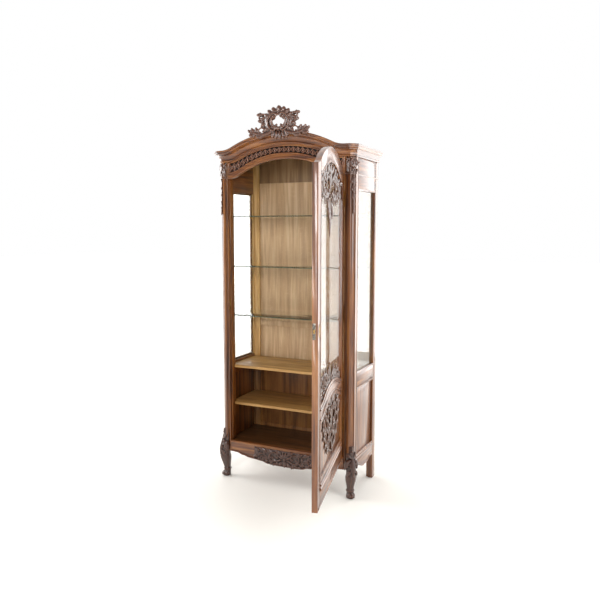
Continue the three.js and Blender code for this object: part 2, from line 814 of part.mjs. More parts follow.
const lockCase = cut(
  block([DOOR_LEFT + GAP, -345 - GAP], around(BOLT_Y, 8 - GAP), lockZ(40 - GAP)),
  block([DOOR_LEFT - 1, -350], around(BOLT_Y, 4), lockZ(11)),
);
placeOnDoor('lock_case', lockCase, steel);
const lockBolt = block([DOOR_LEFT + 1.5, -361], around(BOLT_Y, 4 - GAP), lockZ(11 - GAP));
placeOnDoor('lock_bolt', lockBolt, brass);
const oval = (cx, cz, halfWidth, halfHeight, count) =>
  steps(0, 2 * Math.PI, count)
    .slice(0, -1)
    .map((angle) => [cx + halfWidth * Math.cos(angle), cz + halfHeight * Math.sin(angle)]);
const stileMiddle = (DOOR_LEFT + STILE_LEFT) / 2;
const keyhole = [
  ...steps(-0.25 * Math.PI, 1.25 * Math.PI, 8).map((angle) => [
    stileMiddle + 4 * Math.cos(angle),
    BOLT_HEIGHT + 5 + 4 * Math.sin(angle),
  ]),
  [stileMiddle - 2.8, BOLT_HEIGHT - 12],
  [stileMiddle + 2.8, BOLT_HEIGHT - 12],
];
placeOnDoor(
  'escutcheon',
  frontBoard(oval(stileMiddle, BOLT_HEIGHT, 16, 34, 20), [DOOR_FRONT - 2, DOOR_FRONT - GAP], [keyhole]),
  brass,
);
place(
  'strike_plate',
  cut(
    block([-OPENING_HALF - 1.5, -OPENING_HALF], [BOLT_Y - 6.5, BOLT_Y + 11.7], lockZ(35)),
    block([-OPENING_HALF - 3, -OPENING_HALF + 1], around(BOLT_Y, 4.4), lockZ(14)),
  ),
  brass,
);

// The origin is on the floor, under the middle of the whole object with its door open.
const group = new THREE.Group();
group.add(cabinet);
group.updateMatrixWorld(true);
const extent = new THREE.Box3().setFromObject(group, true);
const middle = extent.getCenter(new THREE.Vector3());
cabinet.position.set(-middle.x, -middle.y, -extent.min.z);

export default group;
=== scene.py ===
import json
import math

import bmesh
import bpy
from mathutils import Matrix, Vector


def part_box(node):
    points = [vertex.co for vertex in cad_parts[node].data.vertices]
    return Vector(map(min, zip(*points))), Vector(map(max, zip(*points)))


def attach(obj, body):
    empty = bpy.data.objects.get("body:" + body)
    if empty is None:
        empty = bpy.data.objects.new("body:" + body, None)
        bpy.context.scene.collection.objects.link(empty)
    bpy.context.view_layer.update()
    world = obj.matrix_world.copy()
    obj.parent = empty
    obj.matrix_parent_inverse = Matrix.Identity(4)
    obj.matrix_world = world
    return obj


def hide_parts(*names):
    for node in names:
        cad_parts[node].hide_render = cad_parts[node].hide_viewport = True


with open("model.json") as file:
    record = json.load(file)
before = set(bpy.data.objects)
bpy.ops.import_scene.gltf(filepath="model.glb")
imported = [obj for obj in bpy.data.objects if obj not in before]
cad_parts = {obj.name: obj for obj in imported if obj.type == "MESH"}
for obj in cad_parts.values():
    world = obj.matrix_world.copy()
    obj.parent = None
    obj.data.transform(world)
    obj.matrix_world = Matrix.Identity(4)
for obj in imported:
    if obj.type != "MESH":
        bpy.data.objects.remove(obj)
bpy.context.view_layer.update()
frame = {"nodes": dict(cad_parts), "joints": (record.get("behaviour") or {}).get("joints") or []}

MM = 0.001
MIDDLE_X = sum(corner.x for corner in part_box("apron")) / 2
FACE_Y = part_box("arched_frieze")[0].y
HINGE = next(joint for joint in frame["joints"] if joint["name"] == "door_hinge")
PIN = Vector(HINGE["pos_m"])
OPEN = -math.radians(HINGE["range_deg"][0])

# Driving sizes
OPENING_HALF = 400
CASE_HALF = 462
POST_DEPTH = 66
POST_CANT = 26
POST_TOP = 2118
SIDE_OUTER = 458
ARCH_SPRING = 1962
ARCH_RISE = 113
ARCH_CROWN = 620
CORNICE_BOTTOM = 2067
CORNICE_FRONT = 59.7
CORNICE_SIDE = 28
APRON_TOP = 252
DOOR_FRONT = -10
STILE_EDGE = 330.8
DOOR_HALF = STILE_EDGE + 47
SHELF_MIDDLE = 744
LEG_BLOCK_TOP = 250
SIDE_PANE_Y = (66.3, 381.7)


# Placing

def at(x, y, z):
    return Vector((MIDDLE_X + x * MM, FACE_Y + y * MM, z * MM))


def on_front(face):
    """Draws on an upright plane that faces forwards: across, up and how far out of it."""
    return lambda u, v, out: at(u, face - out, v)


def on_side(sign):
    return lambda u, v, out: at(sign * (SIDE_OUTER + out), u, v)


def on_post_face(sign):
    """Draws on a front post's own face, with across measured outwards on either side."""
    return lambda u, v, out: at(sign * u, -out, v)


def on_cant(sign):
    """Draws on the cut-off outer corner of a front post."""
    middle = CASE_HALF - POST_CANT / 2
    slant = math.sqrt(0.5)
    return lambda u, v, out: at(
        sign * (middle + (u + out) * slant), POST_CANT / 2 + (u - out) * slant, v
    )


def camel(x, half_span, rise, crown):
    """The height of a camel-back curve above its flat ends: round in the middle, hollow at both ends."""
    both = (half_span**2 / rise + rise) / 2
    end = both - crown
    turn = half_span * crown / both
    away = abs(x)
    if away >= half_span:
        return 0.0
    if away <= turn:
        return rise - crown + math.sqrt(crown**2 - away**2)
    return end - math.sqrt(end**2 - (half_span - away) ** 2)


def opening_arch(x):
    return ARCH_SPRING + camel(x, OPENING_HALF, ARCH_RISE, ARCH_CROWN)


def cornice_lift(x):
    return camel(x, 410, 98, 740)


def lattice_low(x):
    return 2003 + camel(x, OPENING_HALF, 108, ARCH_CROWN)


def lattice_high(x):
    return 2060 + camel(x, OPENING_HALF, 90, 740)


def glass_top(x):
    return 1925 + camel(x, STILE_EDGE + 1, 80, 520)


def middle_rail_top(x):
    return 765 + camel(x, STILE_EDGE + 1, 54, 700)


def middle_rail_bottom(x):
    return 697 + camel(x, STILE_EDGE + 1, 62, 620)


def steps(start, end, count):
    return [start + (end - start) * i / count for i in range(count + 1)]


def bearing(angle):
    """A unit step on a face, turned from upright."""
    return Vector((math.sin(math.radians(angle)), math.cos(math.radians(angle))))


def arc(centre, radii, start, end, count):
    return [
        (
            centre[0] + radii[0] * math.cos(math.radians(angle)),
            centre[1] + radii[1] * math.sin(math.radians(angle)),
        )
        for angle in steps(start, end, count)
    ]


# Modelling

def deselect():
    bpy.ops.object.select_all(action="DESELECT")


def alone(piece):
    deselect()
    piece.select_set(True)
    bpy.context.view_layer.objects.active = piece


def added(name):
    piece = bpy.context.object
    piece.name = name
    piece.data.name = name
    return piece


def smooth(piece, angle=35):
    alone(piece)
    bpy.ops.object.shade_smooth_by_angle(angle=math.radians(angle))


def applied(piece, kind, **settings):
    """Adds a modifier with its settings and applies it."""
    alone(piece)
    modifier = piece.modifiers.new(kind.lower(), kind)
    for name, value in settings.items():
        setattr(modifier, name, value)
    bpy.ops.object.modifier_apply(modifier=modifier.name)


def eased(piece, width, segments=2):
    """Rounds a piece's sharp edges over."""
    applied(
        piece,
        "BEVEL",
        width=width * MM,
        segments=segments,
        limit_method="ANGLE",
        angle_limit=math.radians(35),
    )
    smooth(piece)


def block(name, low, high, ease=1.0):
    deselect()
    middle = [(a + b) / 2 for a, b in zip(low, high)]
    size = [(b - a) * MM for a, b in zip(low, high)]
    bpy.ops.mesh.primitive_cube_add(size=1, location=at(*middle), scale=size)
    bpy.ops.object.transform_apply(location=True, rotation=True, scale=True)
    piece = added(name)
    if ease:
        eased(piece, ease)
    return piece


def lofted(name, rings, loop=False, angle=35):
    """Extrudes one ring's face from station to station; a loop runs back into its first ring."""
    deselect()
    bpy.ops.mesh.primitive_circle_add(vertices=len(rings[0]), fill_type="NGON")
    piece = added(name)
    bpy.ops.object.mode_set(mode="EDIT")
    stations = [*rings, rings[0]] if loop else rings
    for number, ring in enumerate(stations):
        if number:
            bpy.ops.mesh.extrude_region_move()
        working = bmesh.from_edit_mesh(piece.data)
        end = next(face for face in working.faces if face.select)
        for corner, point in zip(end.loops, ring):
            corner.vert.co = point
        bmesh.update_edit_mesh(piece.data)
    if loop:
        bpy.ops.mesh.select_mode(type="FACE")
        working = bmesh.from_edit_mesh(piece.data)
        for face in working.faces:
            face.select = len(face.verts) == len(ring)
        bmesh.update_edit_mesh(piece.data)
        bpy.ops.mesh.delete(type="ONLY_FACE")
        bpy.ops.mesh.select_mode(type="VERT")
    bpy.ops.mesh.select_all(action="SELECT")
    if loop:
        bpy.ops.mesh.remove_doubles(threshold=1e-5)
    bpy.ops.mesh.normals_make_consistent(inside=False)
    bpy.ops.object.mode_set(mode="OBJECT")
    smooth(piece, angle)
    return piece


def run(place, path, section, loop=False):
    """Carries a section along a path on a flat face, mitred where it turns.

    The section's points say how far they lie to the left of the path and how far out of the face.
    """
    rings = []
    count = len(path)
    for i, (u, v) in enumerate(path):
        here = Vector((u, v))
        ways = []
        if loop or i > 0:
            ways.append((here - Vector(path[i - 1])).normalized())
        if loop or i + 1 < count:
            ways.append((Vector(path[(i + 1) % count]) - here).normalized())
        lefts = [Vector((-way.y, way.x)) for way in ways]
        left = sum(lefts, Vector((0, 0))).normalized()
        reach = 1 / left.dot(lefts[0])
        rings.append([place(u + left.x * a * reach, v + left.y * a * reach, out) for a, out in section])
    return rings


def moulding(name, place, path, section, loop=False):
    return lofted(name, run(place, path, section, loop), loop)


def half_round(width, height, base=-1.0):
    """A bead's section, with its foot a little inside the face that it stands on."""
    return [(-width / 2, base), *arc((0, 0), (width / 2, height), 180, 0, 6), (width / 2, base)]


def ovolo(width, height, base=-1.0):
    """A sloping rounded section with a small step at both sides."""
    return [
        (0, base),
        (0, height),
        (width * 0.2, height),
        (width * 0.25, height * 0.86),
        *arc((width * 0.3, height * 0.25), (width * 0.55, height * 0.55), 90, 0, 5),
        (width * 0.92, height * 0.18),
        (width, height * 0.18),
        (width, base),
    ]


def turned(name, place, profile, sides=32):
    """A round piece turned about an axis; the profile gives radius and height along the axis."""
    ring = arc((0, 0), (1, 1), 0, 360 * (1 - 1 / sides), sides - 1)
    return lofted(name, [[place(r * a, r * b, h) for a, b in ring] for r, h in profile])


def joined(name, pieces):
    alone(pieces[0])
    for piece in pieces[1:]:
        piece.select_set(True)
    if len(pieces) > 1:
        bpy.ops.object.join()
    return added(name)


def cut_away(piece, low, high):
    tool = block("cutting_block", low, high, ease=0)
    applied(piece, "BOOLEAN", operation="DIFFERENCE", object=tool, solver="EXACT")
    bpy.data.objects.remove(tool)


def swung_open(piece):
    """Turns a piece that was drawn on the shut door to where the open door stands."""
    alone(piece)
    # With no window this operator turns the other way round, so it is given the opposite angle.
    bpy.ops.transform.rotate(value=-OPEN, orient_axis="Z", center_override=PIN)
    bpy.ops.object.transform_apply(location=True, rotation=True, scale=True)
    return piece


def planed(node, ease=1.2, segments=2):
    """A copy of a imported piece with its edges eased."""
    mesh = frame["nodes"][node].data.copy()
    mesh.materials.clear()
    piece = bpy.data.objects.new(f"{node}_planed", mesh)
    bpy.context.scene.collection.objects.link(piece)
    alone(piece)
    bpy.ops.object.mode_set(mode="EDIT")
    bpy.ops.mesh.select_all(action="SELECT")
    bpy.ops.mesh.remove_doubles(threshold=1e-5)
    bpy.ops.mesh.dissolve_limited(angle_limit=math.radians(0.5))
    bpy.ops.object.mode_set(mode="OBJECT")
    if ease:
        eased(piece, ease, segments)
    else:
        smooth(piece)
    return piece


def stained_and_shaded(piece, heights, tones, which):
    """Cuts a piece's faces along level lines, then gives each face the tone picked for it; some of these
    tones are real stains and some are painted shade.
    """
    for height in heights:
        alone(piece)
        bpy.ops.object.mode_set(mode="EDIT")
        bpy.ops.mesh.select_all(action="SELECT")
        bpy.ops.mesh.bisect(plane_co=(0, 0, height * MM), plane_no=(0, 0, 1))
        bpy.ops.object.mode_set(mode="OBJECT")
    for tone in tones:
        piece.data.materials.append(tone)
    for face in piece.data.polygons:
        face.material_index = which(face.center, face.normal)


# Carving

def leaf(place, base, tip, width, bend=0.0, rise=8.0, curl=4.0, lobes=3, thick=6.0):
    """A lobed leaf lying on a face; bend bows its rib sideways and curl lifts its tip off the face."""
    deselect()
    bpy.ops.mesh.primitive_grid_add(x_subdivisions=8, y_subdivisions=6 * lobes, size=1)
    piece = added("leaf")
    base = Vector(base)
    rib = Vector(tip) - base
    side = Vector((-rib.y, rib.x)).normalized()
    for vertex in piece.data.vertices:
        across = 2 * vertex.co.x
        along = vertex.co.y + 0.5
        middle = base + rib * along + side * bend * 4 * along * (1 - along)
        way = (rib + side * bend * 4 * (1 - 2 * along)).normalized()
        left = Vector((-way.y, way.x))
        swell = math.sin(math.pi * (0.14 + 0.86 * along)) ** 0.7 if along < 1 else 0
        tooth = 0.6 + 0.4 * ((along * lobes * 0.999) % 1)
        half = width * swell * tooth
        spot = middle + left * across * half + way * abs(across) ** 1.5 * half * 0.7 * (1 - along)
        vein = 1.2 * math.cos(5 * across) * (1 - along)
        out = rise * math.sin(math.pi * (0.1 + 0.75 * along)) * (1 - 0.5 * across**2)
        vertex.co = place(spot.x, spot.y, out + vein + curl * along**2)
    applied(piece, "SOLIDIFY", thickness=thick * MM, offset=0)
    return piece


def strap(place, points, start, end):
    """A round-backed stem through points (across, up, out) that tapers from one radius to the other."""
    curve = bpy.data.curves.new("strap", "CURVE")
    curve.dimensions = "3D"
    curve.bevel_depth = MM
    curve.bevel_resolution = 2
    curve.use_fill_caps = True
    line = curve.splines.new("POLY")
    line.points.add(len(points) - 1)
    for i, (spot, (u, v, out)) in enumerate(zip(line.points, points)):
        spot.co = (*place(u, v, out), 1)
        spot.radius = start + (end - start) * i / (len(points) - 1)
    piece = bpy.data.objects.new("strap", curve)
    bpy.context.scene.collection.objects.link(piece)
    alone(piece)
    bpy.ops.object.convert(target="MESH")
    return bpy.context.object


def boss(place, u, v, out, radius):
    """A small round knob, as in the eye of a scroll."""
    deselect()
    bpy.ops.mesh.primitive_uv_sphere_add(
        segments=12, ring_count=8, radius=radius * MM, location=place(u, v, out)
    )
    bpy.ops.object.transform_apply(location=True)
    return bpy.context.object


def scroll(place, centre, radii, start, end, thick, out=9.0, eyes=(True, True)):
    """A C-scroll: part of an oval whose two ends roll inwards round a small eye."""
    middle = arc(centre, radii, start, end, 22)
    turn = 1 if end > start else -1
    points = list(middle)
    parts = []
    for at_end, eye in zip((False, True), eyes):
        if not eye:
            continue
        angle = end if at_end else start
        edge = middle[-1] if at_end else middle[0]
        roll = 0.3 * min(radii)
        hub = (
            edge[0] - roll * math.cos(math.radians(angle)),
            edge[1] - roll * math.sin(math.radians(angle)),
        )
        way = turn if at_end else -turn
        curl = []
        for i in range(1, 13):
            rolled = math.radians(angle + way * i * 24)
            reach = roll * (1 - 0.05 * i)
            curl.append((hub[0] + reach * math.cos(rolled), hub[1] + reach * math.sin(rolled)))
        points = points + curl if at_end else curl[::-1] + points
        parts.append(boss(place, hub[0], hub[1], out, thick * 0.9))
    parts.append(strap(place, [(u, v, out) for u, v in points], thick, thick * 0.8))
    return parts


def spray(place, path, thick, leaves, size, out=6.0, first=0.12, lobes=3):
    """A bowed stem with leaves springing from it to both sides, the last one at its tip."""
    points = [Vector(p) for p in path]
    parts = [strap(place, [(p.x, p.y, out) for p in points], thick, thick * 0.45)]
    last = len(points) - 1
    for i in range(leaves):
        share = first + (1 - first) * i / (leaves - 1)
        k = min(int(share * last), last - 1)
        root = points[k].lerp(points[k + 1], share * last - k)
        way = (points[k + 1] - points[k]).normalized()
        side = Vector((-way.y, way.x)) * (1 if i % 2 else -1)
        lean = way if i == leaves - 1 else (way * 0.75 + side * 0.85).normalized()
        length = size * (1.15 - 0.45 * share)
        tip = root + lean * length
        bend = (-0.16 if i % 2 else 0.16) * length
        parts.append(
            leaf(place, root, tip, length * 0.3, bend, rise=out + 3, curl=3, lobes=lobes, thick=5)
        )
    return parts


def carved(name, parts, grain):
    """Runs overlapping shapes into one carved body; grain is the size of its finest detail in mm."""
    piece = joined(name, parts)
    applied(piece, "REMESH", mode="VOXEL", voxel_size=grain * MM, use_smooth_shade=True)
    applied(piece, "SMOOTH", factor=0.5, iterations=1)
    alone(piece)
    bpy.ops.object.shade_smooth()
    return piece


# Materials

def linear(colour):
    """An sRGB hex colour as the linear numbers that a shader takes."""
    value = int(colour.lstrip("#"), 16)
    parts = [(value >> shift & 255) / 255 for shift in (16, 8, 0)]
    return (*(c / 12.92 if c <= 0.04045 else ((c + 0.055) / 1.055) ** 2.4 for c in parts), 1)


def node(tree, kind, sockets=None, **settings):
    """Adds a shader node; a socket takes either a value or the output that feeds it."""
    made = tree.nodes.new(kind)
    for name, value in settings.items():
        setattr(made, name, value)
    for name, value in (sockets or {}).items():
        if isinstance(value, bpy.types.NodeSocket):
            tree.links.new(value, made.inputs[name])
        else:
            made.inputs[name].default_value = value
    return made


def ramp(tree, fed_by, stops):
    made = node(tree, "ShaderNodeValToRGB", {"Fac": fed_by})
    elements = made.color_ramp.elements
    while len(elements) < len(stops):
        elements.new(0.5)
    for element, (place, colour) in zip(elements, stops):
        element.position = place
        element.color = linear(colour) if isinstance(colour, str) else (colour, colour, colour, 1)
    return made.outputs["Color"]


def new_material(name):
    material = bpy.data.materials.new(name)
    material.use_nodes = True
    tree = material.node_tree
    return material, tree, tree.nodes["Principled BSDF"]


def grain_space(tree, along, sizes):
    """Object coordinates measured in a timber's own grain: sizes are across and along it, in mm."""
    across, length = (size * MM for size in sizes)
    scale = {
        "up": (across, across, length),
        "right": (length, across, across),
        "back": (across, length, across),
        "door": (length, across, across),
    }[along]
    turn = OPEN if along == "door" else 0
    place = node(tree, "ShaderNodeTexCoord").outputs["Object"]
    return node(
        tree,
        "ShaderNodeMapping",
        {"Vector": place, "Rotation": (0, 0, turn), "Scale": scale},
        vector_type="TEXTURE",
    ).outputs["Vector"]


def oak(name, along, dark, middle, light, rough, coat, fleck=0.0, streaky=0.7):
    """Oak boards: slow bands of colour, long open pores, and where quartered, pale silky flecks."""
    material, tree, shader = new_material(name)
    band = node(
        tree,
        "ShaderNodeTexNoise",
        {"Vector": grain_space(tree, along, (26, 420)), "Scale": 1.0, "Detail": 4.0, "Distortion": 0.6},
    ).outputs["Fac"]
    colour = ramp(tree, band, [(0.32, dark), (0.5, middle), (0.7, light)])
    streak = node(
        tree,
        "ShaderNodeTexNoise",
        {"Vector": grain_space(tree, along, (4.5, 150)), "Scale": 1.0, "Detail": 5.0, "Roughness": 0.65},
    ).outputs["Fac"]
    streaks = ramp(tree, streak, [(0.34, 0.62), (0.5, 0.95), (0.68, 1.12)])
    shaded = node(
        tree, "ShaderNodeMix", {0: streaky, 6: colour, 7: streaks}, data_type="RGBA", blend_type="MULTIPLY"
    ).outputs[2]
    if fleck:
        # Medullary rays, which cross the grain as short pale ripples on quartered boards
        ray = node(
            tree,
            "ShaderNodeTexNoise",
            {"Vector": grain_space(tree, along, (34, 11)), "Scale": 1.0, "Detail": 2.0, "Distortion": 1.8},
        ).outputs["Fac"]
        rays = ramp(tree, ray, [(0.6, 0.0), (0.68, fleck)])
        shaded = node(
            tree, "ShaderNodeMix", {0: rays, 6: shaded, 7: linear(light)}, data_type="RGBA"
        ).outputs[2]
    tree.links.new(shaded, shader.inputs["Base Color"])
    gloss = ramp(tree, streak, [(0.3, rough + 0.12), (0.7, rough - 0.06)])
    tree.links.new(gloss, shader.inputs["Roughness"])
    pores = node(
        tree,
        "ShaderNodeTexNoise",
        {"Vector": grain_space(tree, along, (1.6, 38)), "Scale": 1.0, "Detail": 3.0},
    ).outputs["Fac"]
    bump = node(
        tree, "ShaderNodeBump", {"Height": pores, "Strength": 0.22, "Distance": 0.6 * MM}
    ).outputs["Normal"]
    tree.links.new(bump, shader.inputs["Normal"])
    shader.inputs["IOR"].default_value = 1.5
    shader.inputs["Coat Weight"].default_value = coat
    shader.inputs["Coat Roughness"].default_value = 0.09
    return material


def carving_oak(name, ground, middle, worn_and_highlit, coat=0.9, sheen=0.12):
    """Waxed carving: dark wax and painted shade in the hollows, and the high parts pale and shiny, partly
    rubbed wear and partly painted highlight.
    """
    material, tree, shader = new_material(name)
    edge = node(tree, "ShaderNodeNewGeometry").outputs["Pointiness"]
    # Darker in creases and paler on ridges: partly dark wax and rubbed wear, partly painted shade and painted
    # highlight
    tone = ramp(tree, edge, [(0.45, ground), (0.5, middle), (0.56, worn_and_highlit)])
    cloud = node(
        tree,
        "ShaderNodeTexNoise",
        {"Vector": grain_space(tree, "up", (9, 30)), "Scale": 1.0, "Detail": 4.0},
    ).outputs["Fac"]
    clouds = ramp(tree, cloud, [(0.35, 0.7), (0.65, 1.15)])
    shaded = node(
        tree, "ShaderNodeMix", {0: 0.8, 6: tone, 7: clouds}, data_type="RGBA", blend_type="MULTIPLY"
    ).outputs[2]
    # Painted shade: how open a spot is; a hollow's colour is darkened nearly to black, and its coat and shine
    # are taken away
    depth = node(tree, "ShaderNodeAmbientOcclusion", {"Distance": 14 * MM}, samples=6).outputs["AO"]
    shade = ramp(tree, depth, [(0.25, 0.08), (0.8, 1.0)])
    shaded = node(
        tree, "ShaderNodeMix", {0: 1.0, 6: shaded, 7: shade}, data_type="RGBA", blend_type="MULTIPLY"
    ).outputs[2]
    tree.links.new(shaded, shader.inputs["Base Color"])
    tree.links.new(ramp(tree, depth, [(0.35, 0.0), (0.8, coat)]), shader.inputs["Coat Weight"])
    tree.links.new(ramp(tree, depth, [(0.35, 0.05), (0.8, 0.5)]), shader.inputs["Specular IOR Level"])
    gloss = ramp(tree, edge, [(0.46, 0.6), (0.54, 0.3)])
    tree.links.new(gloss, shader.inputs["Roughness"])
    fine = node(
        tree,
        "ShaderNodeTexNoise",
        {"Vector": grain_space(tree, "up", (1.8, 12)), "Scale": 1.0, "Detail": 3.0},
    ).outputs["Fac"]
    bump = node(
        tree, "ShaderNodeBump", {"Height": fine, "Strength": 0.25, "Distance": 0.5 * MM}
    ).outputs["Normal"]
    tree.links.new(bump, shader.inputs["Normal"])
    shader.inputs["IOR"].default_value = 1.5
    shader.inputs["Coat Roughness"].default_value = sheen
    return material


def sheet_glass(name, tint, rough, thin=1.0):
    """Drawn window glass: clear, with slow vertical waves that bend what it mirrors."""
    material, tree, shader = new_material(name)
    shader.inputs["Base Color"].default_value = linear(tint)
    shader.inputs["Roughness"].default_value = rough
    shader.inputs["IOR"].default_value = 1.5
    shader.inputs["Transmission Weight"].default_value = 1.0
    # A thin sheet lets most of the light straight through.
    shader.inputs["Alpha"].default_value = thin
    wave = node(
        tree,
        "ShaderNodeTexNoise",
        {"Vector": grain_space(tree, "up", (70, 420)), "Scale": 1.0, "Detail": 1.0},
    ).outputs["Fac"]
    bump = node(
        tree, "ShaderNodeBump", {"Height": wave, "Strength": 0.12, "Distance": 2 * MM}
    ).outputs["Normal"]
    tree.links.new(bump, shader.inputs["Normal"])
    return material


def aged_metal(name, dull, bright, rough):
    """Metal with darker tarnish in clouds and fine rubbing marks."""
    material, tree, shader = new_material(name)
    cloud = node(
        tree,
        "ShaderNodeTexNoise",
        {"Vector": grain_space(tree, "up", (7, 9)), "Scale": 1.0, "Detail": 5.0},
    ).outputs["Fac"]
    tree.links.new(ramp(tree, cloud, [(0.38, dull), (0.6, bright)]), shader.inputs["Base Color"])
    tree.links.new(ramp(tree, cloud, [(0.35, rough + 0.15), (0.65, rough)]), shader.inputs["Roughness"])
    shader.inputs["Metallic"].default_value = 1.0
    return material


def pale_floor(name, colour):
    """Matt pale paint, which takes the cabinet's soft shadow."""
    material, tree, shader = new_material(name)
    shader.inputs["Base Color"].default_value = linear(colour)
    shader.inputs["Roughness"].default_value = 0.7
    # Painted light: far from the cabinet the floor glows, more the farther it is, so that it runs out into
    # the white of the room
    spot = node(tree, "ShaderNodeTexCoord").outputs["Object"]
    far = node(tree, "ShaderNodeVectorMath", {0: spot}, operation="LENGTH").outputs["Value"]
    span = {"Value": far, "From Min": 2.5, "From Max": 5.0, "To Min": 0.0, "To Max": 0.4}
    far_glow = node(tree, "ShaderNodeMapRange", span).outputs["Result"]
    tree.links.new(far_glow, shader.inputs["Emission Strength"])
    shader.inputs["Emission Color"].default_value = linear("#ffffff")
    return material


# Stained and waxed oak of the show wood: deep red-brown with a soft shine
FRONT_TONES = ("#3f1d08", "#713d12", "#945d26")
waxed = {
    way: oak(f"waxed_oak_{way}", way, *FRONT_TONES, rough=0.34, coat=0.75, streaky=0.6)
    for way in ("up", "right", "back", "door")
}
# The inside of the case: paler quartered oak with next to no wax. Its darker tones, low in the case and at
# the top, are painted shade
INSIDE_TONES = ("#8f6634", "#ad8247", "#c69b60")
inside = oak("inside_oak", "right", *INSIDE_TONES, rough=0.5, coat=0.1, fleck=0.3, streaky=0.5)
golden = oak("golden_oak", "up", "#a87c40", "#c2975a", "#d6b079", rough=0.45, coat=0.15, streaky=0.4)
# Painted shade: a darker tone for the back posts' inside faces below the middle shelf
low_post = oak("low_post_shade_oak", "up", "#5c3c1a", "#775024", "#8c6232", rough=0.45, coat=0.15, streaky=0.4)
# Painted shade: a darker tone for the back's top rail under the arch
top_rail_shade = oak("top_rail_shade_oak", "up", "#5f4528", "#7b5d3c", "#90714e", rough=0.5, coat=0.1, streaky=0.35)
PANEL_TONES = ("#a88661", "#bd9b74", "#cfb08c")
back_board = oak("back_board_oak", "up", *PANEL_TONES, rough=0.5, coat=0.1, fleck=0.3, streaky=0.35)
# Painted shade: darker tones for the inside below the middle shelf, also used on the roof board
LOW_SHADE_TONES = ("#5c3817", "#7b4f26", "#926433")
low_board = oak("low_board_shade_oak", "up", *LOW_SHADE_TONES, rough=0.5, coat=0.1, fleck=0.3, streaky=0.4)
low_rail = oak("low_rail_shade_oak", "right", *LOW_SHADE_TONES, rough=0.5, coat=0.1, streaky=0.4)
# Painted shade: very dark tones for the cabinet's floor board, in the shaded bottom of the case
FLOOR_SHADE_TONES = ("#381f0e", "#573619", "#6c4726")
floor_oak = oak("cabinet_floor_shade_oak", "right", *FLOOR_SHADE_TONES, rough=0.45, coat=0.2, streaky=0.5)
# Carvings: the legs and apron have more polish, the door's are duller
carving = carving_oak("carved_oak", "#1a0b05", "#4a2614", "#865840")
door_carving = carving_oak("door_carved_oak", "#180b05", "#40220f", "#74492f", coat=0.35, sheen=0.25)
leg_oak = carving_oak("leg_carved_oak", "#140703", "#3a1a0b", "#6b3a1b", coat=0.6, sheen=0.05)
# Painted shadow: the near-black sheet behind the frieze lattice stands for the dark seen through its
# piercings
lattice_shadow_sheet = carving_oak("lattice_painted_shadow", "#080402", "#120804", "#1c0e07", coat=0.1)
# Glass: nearly colourless panes, and shelves with green cut edges
pane = sheet_glass("window_glass", "#ffffff", 0.0, thin=0.35)
side_pane = sheet_glass("side_window_glass", "#fbfffc", 0.0, thin=0.8)
shelf_pane = sheet_glass("shelf_glass", "#eef8f4", 0.0)
pane_edge = sheet_glass("glass_edge", "#7ba597", 0.12)
# Metal: handled brass, hinges gone dark, and a steel lock
brass = aged_metal("aged_brass", "#5d4522", "#b8924f", 0.28)
bronze = aged_metal("dark_hinge_brass", "#2c1d0c", "#6b4a22", 0.38)
steel = aged_metal("lock_steel", "#4d4a46", "#8b8880", 0.35)


def finish(piece, material, slot, body, *nodes):
    """Gives a piece its material and hangs it on its body; its slot is not used."""
    if material:
        piece.data.materials.clear()
        piece.data.materials.append(material)
    if nodes:
        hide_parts(*nodes)
    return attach(piece, body)


# Posts

def beaded_edge(start, end, beads, radius=3.2, quirk=1.5, sink=2.4):
    """A straight edge of a plan outline with half-round beads sunk in it between two fine grooves."""
    start, end = Vector(start), Vector(end)
    way = (end - start).normalized()
    inwards = Vector((-way.y, way.x))
    points = [start]
    for place in beads:
        low = place - radius - quirk
        points += [start + way * low, start + way * low + inwards * sink]
        for angle in steps(180, 0, 6):
            turn = math.radians(angle)
            points.append(
                start + way * (place + radius * math.cos(turn)) + inwards * sink * (1 - math.sin(turn))
            )
        high = place + radius + quirk
        points += [start + way * high + inwards * sink, start + way * high]
    points.append(end)
    return [tuple(p) for p in points]


def post_plan():
    """Half of a front post: a deep hollow beside the door, a bead, a flat and the cut-off corner."""
    front = [(OPENING_HALF, 0), (402.5, 0), (403.2, 6), *arc((408.2, 5.5), (4.2, 3.5), 180, 0, 6), (412.4, 2)]
    front += arc((417, 4.6), (4.6, 4.6), 180, 0, 8)
    front += [(421.8, 3.4), (423, 3.4), (423, 0), (CASE_HALF - POST_CANT, 0)]
    cant = []
    # The cut-off corner carries a shallow round between two fine steps.
    slant = math.sqrt(0.5)
    length = POST_CANT / slant
    for share, depth in ((0.07, 0), (0.1, 3.2), (0.28, 0.8), (0.5, 0), (0.72, 0.8), (0.9, 3.2), (0.93, 0)):
        run_on = share * length
        cant.append((CASE_HALF - POST_CANT + (run_on - depth) * slant, (run_on + depth) * slant))
    side = beaded_edge((CASE_HALF, POST_CANT), (CASE_HALF, POST_DEPTH), (32,))
    return [(OPENING_HALF, POST_DEPTH), *front, *cant, *side]


